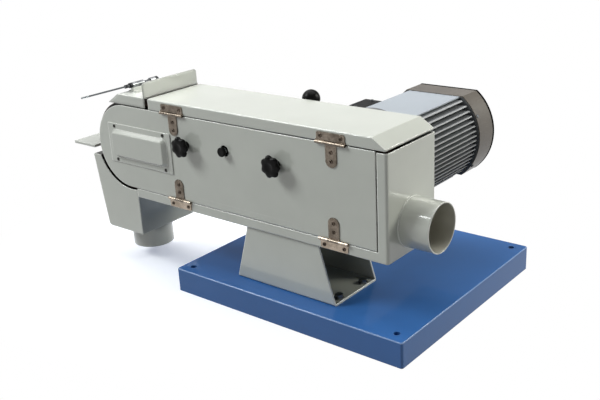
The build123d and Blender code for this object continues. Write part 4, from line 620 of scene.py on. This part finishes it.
# Fan cowl: a drawn steel drum in mottled taupe enamel, flat above and below. A black rubber band
# of 7 mm covers the seam between the drum and its pierced end.
cowl_enamel = enamel("taupe_cowl_enamel", "#565049", "#857E74", 0.42, cloudy=0.24, coat=0.25)
dress(cowl_enamel, "fan_cowl")
cowl_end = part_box("fan_cowl")[1][1]
cowl_radius = 0.1145
cowl_flat = 0.090
band_width = 0.007
band_proud = 0.0006
band_sunk = 0.001


def rim_band(name):
    """Closed section with a crowned outside, carried round the drum's outline: a circle whose
    radius is cut short above and below where the flats lie."""
    turns = np.linspace(0, 2 * np.pi, 480, endpoint=False)
    outline = np.minimum(cowl_radius, cowl_flat / np.maximum(np.abs(np.sin(turns)), 1e-6))
    across = np.linspace(-1, 1, 9)
    out = np.concatenate([band_proud * (1 - across**4), [-band_sunk, -band_sunk]])
    along = np.concatenate([across, [1.0, -1.0]]) * band_width / 2 + cowl_end - band_width / 2
    reach = outline[:, None] + out
    points = np.stack(
        [
            motor_axis[0] + reach * np.cos(turns)[:, None],
            np.repeat(along[None, :], len(turns), 0),
            motor_axis[2] + reach * np.sin(turns)[:, None],
        ],
        -1,
    )
    return grid_piece(name, points, True, True)


band_rubber = moulding("black_band_rubber", "#050505", "#0A0A0A", 0.85)
reopen(band_rubber)[1].inputs["Specular IOR Level"].default_value = 0.02
finish_piece(rim_band("cowl_rim_band"), band_rubber, "frame", "black_plastic")

# Door and its raised cover: flat and pressed sheet in the housing's grey enamel.
dress(grey_enamel, "door_panel", "raised_cover")

# T-hinges: bright nickel over copper on rolled strip, warm in tone, with polished barrels.
nickel = metal("warm_nickel_plate", "#857B70", "#544C43", 0.22, grain_mm=2.0, fold_mm=0.5, bump=0.05)
dress(nickel, "lower_hinge_pins", "door_straps", "upper_hinge_pins", "lid_hinge_leaves")

# Lower leaves: the same plate in a paler tone, a painted light for the light that falls on them.
nickel_painted_light = metal("nickel_plate_painted_light", "#B3A698", "#877B6D", 0.22, grain_mm=2.0, fold_mm=0.5, bump=0.05)
dress(nickel_painted_light, "lower_hinge_leaves")

# Screws of the hinges and the cover: browned nickel and black oxide, with a domed head of 8 mm
# and a cross recess punched in it. The shank runs through the sheet behind.
head_radius = 0.0040
head_height = 0.0022
shank_radius = 0.0025
recess_width = 0.0011
recess_reach = 0.0048
recess_depth = 0.0012


def cross_screws(name, seats, shank):
    """Turned screws that face the door side. A profile runs from the head's crown over its rim
    and down the shank to its tip, and is carried round the axis; the crown is lowered inside a
    cross, by a smooth step of the distance to the cross's two bars."""
    crown = np.linspace(0, 1, 26)
    crown_r = head_radius * np.sin(crown * np.pi / 2)
    crown_h = head_height * (0.28 + 0.72 * np.cos(crown * np.pi / 2))
    radius = np.concatenate([crown_r, [head_radius, shank_radius, shank_radius, 1e-6]])
    height = np.concatenate([crown_h, [0.0, 0.0, -shank, -shank]])
    turns = np.linspace(0, 2 * np.pi, 64, endpoint=False)
    x = radius[:, None] * np.cos(turns)
    z = radius[:, None] * np.sin(turns)
    high = np.repeat(height[:, None], len(turns), 1)

    def bar(u, v):
        inside = np.clip((recess_width / 2 - np.abs(u)) / 0.0004 + 0.5, 0, 1)
        return inside * np.clip((recess_reach / 2 - np.abs(v)) / 0.0006 + 0.5, 0, 1)

    cross = np.maximum(bar(x, z), bar(z, x))
    on_crown = (np.arange(len(radius)) < len(crown))[:, None]
    high = high - on_crown * recess_depth * cross
    screw = np.stack([x, -high, z], -1)
    mesh_points = np.array(seats)[:, None, None, :] + screw[None]
    count, rows, columns = mesh_points.shape[:3]
    index = np.arange(rows * columns).reshape(rows, columns)
    after = np.roll(index, -1, axis=1)
    quads = np.stack([index[:-1], index[1:], after[1:], after[:-1]], -1).reshape(-1, 4)
    quads = (quads[None] + (np.arange(count) * rows * columns)[:, None, None]).reshape(-1, 4)
    mesh = bpy.data.meshes.new(name)
    mesh.from_pydata(mesh_points.reshape(-1, 3).tolist(), [], quads.tolist())
    depth = mesh.attributes.new("recess", "FLOAT", "POINT")
    depth.data.foreach_set("value", np.tile((on_crown * cross).ravel(), count))
    mesh.shade_smooth()
    piece = bpy.data.objects.new(name, mesh)
    bpy.context.scene.collection.objects.link(piece)
    return piece


door_face = -0.221
strip = 0.0018
sheet = 0.002
hinge_xs = (-0.310, 0.120)
lower_z = 0.20375
upper_z = 0.4014


def screw_painted_recess_shade(name, face, dark, rough):
    """Plated screw whose recess, marked by the mesh's own attribute, is painted black as painted shade."""
    made = metal(name, face, dark, rough, grain_mm=1.0)
    tree, shader = reopen(made)
    recess = add(tree, "ShaderNodeAttribute", attribute_name="recess")
    # Painted shade: the recess is laid over with near black.
    overlay(tree, shader, recess.outputs["Fac"], "#0E0D0C")
    return made


bright_nickel = screw_painted_recess_shade("bright_nickel_screw", "#6B5F54", "#2A231D", 0.12)
black_oxide = screw_painted_recess_shade("black_oxide_screw", "#4A4846", "#201F1E", 0.25)
leaf_rise = 0.0119
leaf_reach = 0.024
strap_rises = (0.018, 0.036)
strap_shank = strip + 0.003
cover_x, cover_z = -0.429, 0.308
cover_reach_x, cover_reach_z = 0.082, 0.04025
leaf_xs = [x + side * leaf_reach for x in hinge_xs for side in (-1, 1)]
lower_seats = [(x, door_face - strip, lower_z - leaf_rise) for x in leaf_xs]
lower_screws = cross_screws("lower_hinge_screws", lower_seats, strip + sheet)
finish_piece(lower_screws, bright_nickel, "frame", "plated_steel", "lower_leaf_screws")
lid_seats = [(x, door_face - strip, upper_z + leaf_rise) for x in leaf_xs]
lid_screws = cross_screws("lid_hinge_screws", lid_seats, strip + sheet)
finish_piece(lid_screws, bright_nickel, "lid", "plated_steel", "lid_leaf_screws")
strap_seats = [
    (x, door_face - strip, z)
    for x in hinge_xs
    for rise in strap_rises
    for z in (lower_z + rise, upper_z - rise)
]
cover_seats = [
    (cover_x + i * cover_reach_x, door_face - sheet, cover_z + j * cover_reach_z)
    for i in (-1, 1)
    for j in (-1, 1)
]
door_screws = cross_screws("door_cross_screws", strap_seats + cover_seats, strap_shank)
finish_piece(door_screws, bright_nickel, "door", "plated_steel", "door_screws")
door_screws.data.materials.append(black_oxide)
screw_faces = len(door_screws.data.polygons) // (len(strap_seats) + len(cover_seats))
finish_index = np.repeat([0, 1], [screw_faces * len(strap_seats), screw_faces * len(cover_seats)])
door_screws.data.polygons.foreach_set("material_index", finish_index)

# Star knobs: seven-lobed phenolic grips moulded round a threaded stud, with a shallow dish in
# the crown, a rounded rim and a round collar towards the door.
grip_back = -0.2353
grip_thickness = 0.012
lobe_count = 7
lobe_middle, lobe_wave = 0.958, 0.072
collar_radius = 0.009
collar_length = 0.014
stud_radius = 0.004
stud_tip = -0.2057


def star_grip(name, x, z):
    """Profile from the crown's middle over the rim to the collar and the stud, carried round the
    knob's axis. On the grip the radius is multiplied by a seven-fold wave with broad lobes and
    narrow hollows, which fades out towards the crown's middle and the collar."""
    front = grip_back - grip_thickness
    collar_end = grip_back + collar_length
    profile = np.array(
        [
            (0.0000, front + 0.0012, 0.0),
            (0.0070, front + 0.0011, 0.0),
            (0.0086, front + 0.0003, 0.1),
            (0.0105, front + 0.0000, 0.2),
            (0.0150, front + 0.0002, 0.6),
            (0.0190, front + 0.0008, 0.9),
            (0.0216, front + 0.0022, 1.0),
            (0.0229, front + 0.0042, 1.0),
            (0.0232, front + 0.0064, 1.0),
            (0.0228, front + 0.0086, 1.0),
            (0.0214, front + 0.0106, 1.0),
            (0.0180, grip_back - 0.0003, 0.8),
            (0.0130, grip_back, 0.2),
            (collar_radius + 0.0006, grip_back, 0.0),
            (collar_radius, grip_back + 0.0008, 0.0),
            (collar_radius, collar_end - 0.0006, 0.0),
            (collar_radius - 0.0006, collar_end, 0.0),
            (stud_radius, collar_end, 0.0),
            (stud_radius, stud_tip - 0.0008, 0.0),
            (stud_radius - 0.0008, stud_tip, 0.0),
            (0.0000, stud_tip, 0.0),
        ]
    )
    turns = np.linspace(0, 2 * np.pi, 24 * lobe_count, endpoint=False)
    lobes = lobe_middle + lobe_wave * np.cos(lobe_count * turns)
    radius = np.maximum(profile[:, :1], 1e-6) * (1 + profile[:, 2:] * (lobes[None] - 1))
    points = np.stack(
        [x + radius * np.cos(turns), np.repeat(profile[:, 1:2], len(turns), 1), z + radius * np.sin(turns)],
        -1,
    )
    return grid_piece(name, points, False, True)


knob_z = 0.3374
front_knob_x, rear_knob_x = -0.2738, -0.0165
front_grip = star_grip("star_grip_front", front_knob_x, knob_z)
finish_piece(front_grip, phenolic, "star_knob_front", "black_plastic", "star_knob_front")
rear_grip = star_grip("star_grip_rear", rear_knob_x, knob_z)
finish_piece(rear_grip, phenolic, "star_knob_rear", "black_plastic", "star_knob_rear")

# Tracking knob: a small turned grip with a straight knurl, on its spindle in the round post.
knurl_count = 40
knurl_depth = 0.00025
tracking_x, tracking_z = -0.160, 0.3417


def knurled_grip(name, x, z):
    """Profile of grip and spindle carried round the axis; on the grip's flank the radius rises
    and falls by a quarter of a millimetre, once for each groove of the knurl."""
    profile = np.array(
        [
            (0.0000, -0.2329, 0.0),
            (0.0070, -0.2331, 0.0),
            (0.0088, -0.2332, 0.0),
            (0.0094, -0.2328, 0.3),
            (0.0098, -0.2320, 1.0),
            (0.0098, -0.2265, 1.0),
            (0.0094, -0.2256, 0.3),
            (0.0086, -0.2253, 0.0),
            (0.0045, -0.2253, 0.0),
            (0.0045, -0.1850, 0.0),
            (0.0000, -0.1850, 0.0),
        ]
    )
    turns = np.linspace(0, 2 * np.pi, knurl_count * 6, endpoint=False)
    radius = np.maximum(profile[:, :1], 1e-6) - knurl_depth * profile[:, 2:] * np.cos(knurl_count * turns)
    points = np.stack(
        [x + radius * np.cos(turns), np.repeat(profile[:, 1:2], len(turns), 1), z + radius * np.sin(turns)],
        -1,
    )
    return grid_piece(name, points, False, True)


tracking_grip = knurled_grip("tracking_grip", tracking_x, tracking_z)
finish_piece(tracking_grip, phenolic, "tracking_knob", "black_plastic", "tracking_knob")

# Lid: one folded cap in the grey enamel, with its leaf screws through the near flange.
dress(grey_enamel, "lid")

# Eye shield: a hinge whose foot is painted with the visor in a paler tone that is painted light,
# and whose two barrels are chrome, an oiled rod, two black clips, and a lightly smoked
# polycarbonate pane of 4 mm. Its shadow is left out, since it comes out far darker than that of a
# real pane.
chrome_barrel = metal("bright_chrome_plate", "#9A9C9E", "#5A5C5E", 0.2)
tree, shader = reopen(chrome_barrel)
hinge_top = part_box("shield_hinge")[1][2]
barrel_radius = 0.006
place = add(tree, "ShaderNodeTexCoord").outputs["Object"]
level = add(tree, "ShaderNodeSeparateXYZ", {"Vector": place})
plated = add(
    tree,
    "ShaderNodeMapRange",
    {
        "Value": level.outputs["Z"],
        "From Min": hinge_top - 1.95 * barrel_radius,
        "From Max": hinge_top - 1.8 * barrel_radius,
    },
)
chrome = shader.inputs["Base Color"].links[0].from_socket
# Painted light: the foot below the barrels is given a pale grey, paler than the visor's own enamel.
colour = blend(tree, plated.outputs["Result"], linear("#E4E6E0"), chrome)
tree.links.new(colour, shader.inputs["Base Color"])
tree.links.new(plated.outputs["Result"], shader.inputs["Metallic"])
dress(chrome_barrel, "shield_hinge")
black_steel = metal("black_oxide_steel", "#3A3B3D", "#1A1B1C", 0.35)
dress(black_steel, "shield_clamp")
polycarbonate, tree, shader = material("clear_polycarbonate")
place = add(tree, "ShaderNodeTexCoord").outputs["Object"]
haze = add(tree, "ShaderNodeTexNoise", {"Vector": place, "Scale": 1 / 0.03, "Detail": 5.0})
dull = add(
    tree, "ShaderNodeMapRange", {"Value": haze.outputs["Fac"], "To Min": 0.03, "To Max": 0.16}
)
tree.links.new(dull.outputs["Result"], shader.inputs["Roughness"])
shader.inputs["Base Color"].default_value = linear("#4A5053")
shader.inputs["Transmission Weight"].default_value = 0.9
shader.inputs["IOR"].default_value = 1.58
dress(polycarbonate, "shield_pane")
cad["shield_pane"].visible_shadow = False

# Floor: a wide pale sheet under the machine. Near the chute it takes the lamps' light and the
# machine's soft shadow; further out it is plain white to the eye. Other light finds it mid grey.
floor_mesh = bpy.data.meshes.new("studio_floor")
half = 6.0
floor_mesh.from_pydata(
    [(-half, -half, 0.0), (half, -half, 0.0), (half, half, 0.0), (-half, half, 0.0)], [], [(0, 1, 2, 3)]
)
floor = bpy.data.objects.new("studio_floor", floor_mesh)
bpy.context.scene.collection.objects.link(floor)
shadow_middle = (-0.40, -0.02, 0.0)
shadow_near, shadow_far = 0.12, 0.62
shadow_glow = 0.38


def seen_directly(tree):
    """Socket that is 1 for the camera's rays and for mirrored and transmitted ones, and else 0."""
    path = add(tree, "ShaderNodeLightPath")
    clear = add(
        tree,
        "ShaderNodeMath",
        {0: path.outputs["Is Camera Ray"], 1: path.outputs["Is Transmission Ray"]},
        operation="MAXIMUM",
    )
    shown = add(
        tree,
        "ShaderNodeMath",
        {0: clear.outputs["Value"], 1: path.outputs["Is Glossy Ray"]},
        operation="MAXIMUM",
    )
    return shown.outputs["Value"]


paper, tree, shader = material("pale_studio_paper")
place = add(tree, "ShaderNodeTexCoord").outputs["Object"]
shown = seen_directly(tree)
distance = add(tree, "ShaderNodeVectorMath", {0: place, 1: shadow_middle}, operation="DISTANCE")
far = add(
    tree,
    "ShaderNodeMapRange",
    {"Value": distance.outputs["Value"], "From Min": shadow_near, "From Max": shadow_far},
    interpolation_type="SMOOTHSTEP",
)
base_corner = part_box("base_plate")[1]
inside = add(
    tree,
    "ShaderNodeVectorMath",
    {0: place, 1: (base_corner[0], base_corner[1], 1.0)},
    operation="DIVIDE",
)
inside = add(tree, "ShaderNodeVectorMath", {0: inside.outputs["Vector"]}, operation="ABSOLUTE")
sides = add(tree, "ShaderNodeSeparateXYZ", {"Vector": inside.outputs["Vector"]})
outermost = add(
    tree, "ShaderNodeMath", {0: sides.outputs["X"], 1: sides.outputs["Y"]}, operation="MAXIMUM"
)
# Under the base the floor is mid grey for every ray and has no glow: painted shade, seen through the bolt
# holes.
clear_of_base = add(
    tree, "ShaderNodeMath", {0: outermost.outputs["Value"], 1: 0.99}, operation="GREATER_THAN"
)
lit = add(
    tree, "ShaderNodeMath", {0: shown, 1: clear_of_base.outputs["Value"]}, operation="MULTIPLY"
)
white = add(
    tree, "ShaderNodeMath", {0: far.outputs["Result"], 1: lit.outputs["Value"]}, operation="MULTIPLY"
)
tone = blend(tree, lit.outputs["Value"], linear("#7C7C7C"), linear("#F4F4F4"))
tree.links.new(tone, shader.inputs["Base Color"])
shader.inputs["Roughness"].default_value = 0.9
shader.inputs["Specular IOR Level"].default_value = 0.1
glow = add(
    tree, "ShaderNodeMath", {0: lit.outputs["Value"], 1: shadow_glow}, operation="MULTIPLY"
)
haze = add(tree, "ShaderNodeEmission", {"Color": linear("#DCE6FF"), "Strength": glow.outputs["Value"]})
near_floor = add(tree, "ShaderNodeAddShader", {0: shader.outputs["BSDF"], 1: haze.outputs["Emission"]})
plain = add(tree, "ShaderNodeEmission", {"Strength": 1.0})
mixed = add(
    tree,
    "ShaderNodeMixShader",
    {0: white.outputs["Value"], 1: near_floor.outputs["Shader"], 2: plain.outputs["Emission"]},
)
output = next(node for node in tree.nodes if node.type == "OUTPUT_MATERIAL")
tree.links.new(mixed.outputs["Shader"], output.inputs["Surface"])
floor_mesh.materials.append(paper)

# Light: a wide softbox overhead, a strong one high and far off in front on the left, which gives
# the knobs their shadows, one behind the motor on the right, and a weak fill from the front. The
# room has pale walls and a dim ceiling.


def softbox(name, place, aim, width, height, watts, tone):
    """Rectangular area lamp at a place, turned so that it faces the aim."""
    lamp_data = bpy.data.lights.new(name, "AREA")
    lamp_data.shape = "RECTANGLE"
    lamp_data.size = width
    lamp_data.size_y = height
    lamp_data.energy = watts
    lamp_data.color = linear(tone)[:3]
    box = bpy.data.objects.new(name, lamp_data)
    bpy.context.scene.collection.objects.link(box)
    back = np.array(place, float) - np.array(aim, float)
    back /= np.linalg.norm(back)
    right = np.cross((0.0, 1.0, 0.0) if abs(back[2]) > 0.95 else (0.0, 0.0, 1.0), back)
    right /= np.linalg.norm(right)
    up = np.cross(back, right)
    turned = np.eye(4)
    turned[:3, :4] = np.stack([right, up, back, place], 1)
    box.matrix_world = Matrix(turned.tolist())
    box.visible_camera = False


softbox("overhead_softbox", (-0.8, 0.35, 1.9), (-0.8, 0.35, 0.0), 3.0, 1.8, 42.0, "#FFFFFF")
softbox("left_softbox", (-4.3, -3.4, 4.85), (-0.1, -0.2, 0.3), 2.4, 2.4, 320.0, "#FBFFFF")
softbox("right_softbox", (1.9, 1.7, 1.7), (0.1, -0.1, 0.3), 1.2, 1.2, 56.0, "#FFFFF7")
softbox("front_fill", (0.6, -2.7, 0.5), (0.0, -0.2, 0.2), 1.2, 1.2, 5.0, "#FFFFFF")

world = bpy.data.worlds.new("pale_room")
bpy.context.scene.world = world
world.use_nodes = True
tree = world.node_tree
tree.nodes.clear()
path = add(tree, "ShaderNodeLightPath")
shown = seen_directly(tree)
upward = add(
    tree, "ShaderNodeSeparateXYZ", {"Vector": add(tree, "ShaderNodeTexCoord").outputs["Generated"]}
)
ceiling = add(
    tree,
    "ShaderNodeMapRange",
    {"Value": upward.outputs["Z"], "From Min": 0.12, "From Max": 0.42, "To Min": 1.0, "To Max": 0.25},
)
mirrored = add(
    tree,
    "ShaderNodeMix",
    {"Factor": path.outputs["Is Glossy Ray"], "A": 1.0, "B": ceiling.outputs["Result"]},
)
strength = add(
    tree, "ShaderNodeMix", {"Factor": shown, "A": 0.12, "B": mirrored.outputs["Result"]}
)
room = add(
    tree, "ShaderNodeBackground", {"Color": linear("#FFFFFF"), "Strength": strength.outputs["Result"]}
)
add(tree, "ShaderNodeOutputWorld", {"Surface": room.outputs["Background"]})

# Camera: the photograph's own view, about 1.9 m away, a little above the lid.
azimuth, elevation, roll = np.radians((40.0756, 20.5749, -3.0588))
camera_place = (1.061124, -1.437030, 0.868786)
focal_px, photo_width_px = 862.119, 600
back = np.array(
    [np.sin(azimuth) * np.cos(elevation), -np.cos(azimuth) * np.cos(elevation), np.sin(elevation)]
)
level_right = np.array([np.cos(azimuth), np.sin(azimuth), 0.0])
level_up = np.cross(back, level_right)
right = level_right * np.cos(roll) + level_up * np.sin(roll)
up = -level_right * np.sin(roll) + level_up * np.cos(roll)
turned = np.eye(4)
turned[:3, :4] = np.stack([right, up, back, camera_place], 1)
camera_data = bpy.data.cameras.new("photo_camera")
camera_data.sensor_fit = "HORIZONTAL"
camera_data.sensor_width = 36.0
camera_data.lens = camera_data.sensor_width * focal_px / photo_width_px
camera = bpy.data.objects.new("photo_camera", camera_data)
bpy.context.scene.collection.objects.link(camera)
camera.matrix_world = Matrix(turned.tolist())
bpy.context.scene.camera = camera
bpy.context.scene.view_settings.view_transform = "Standard"
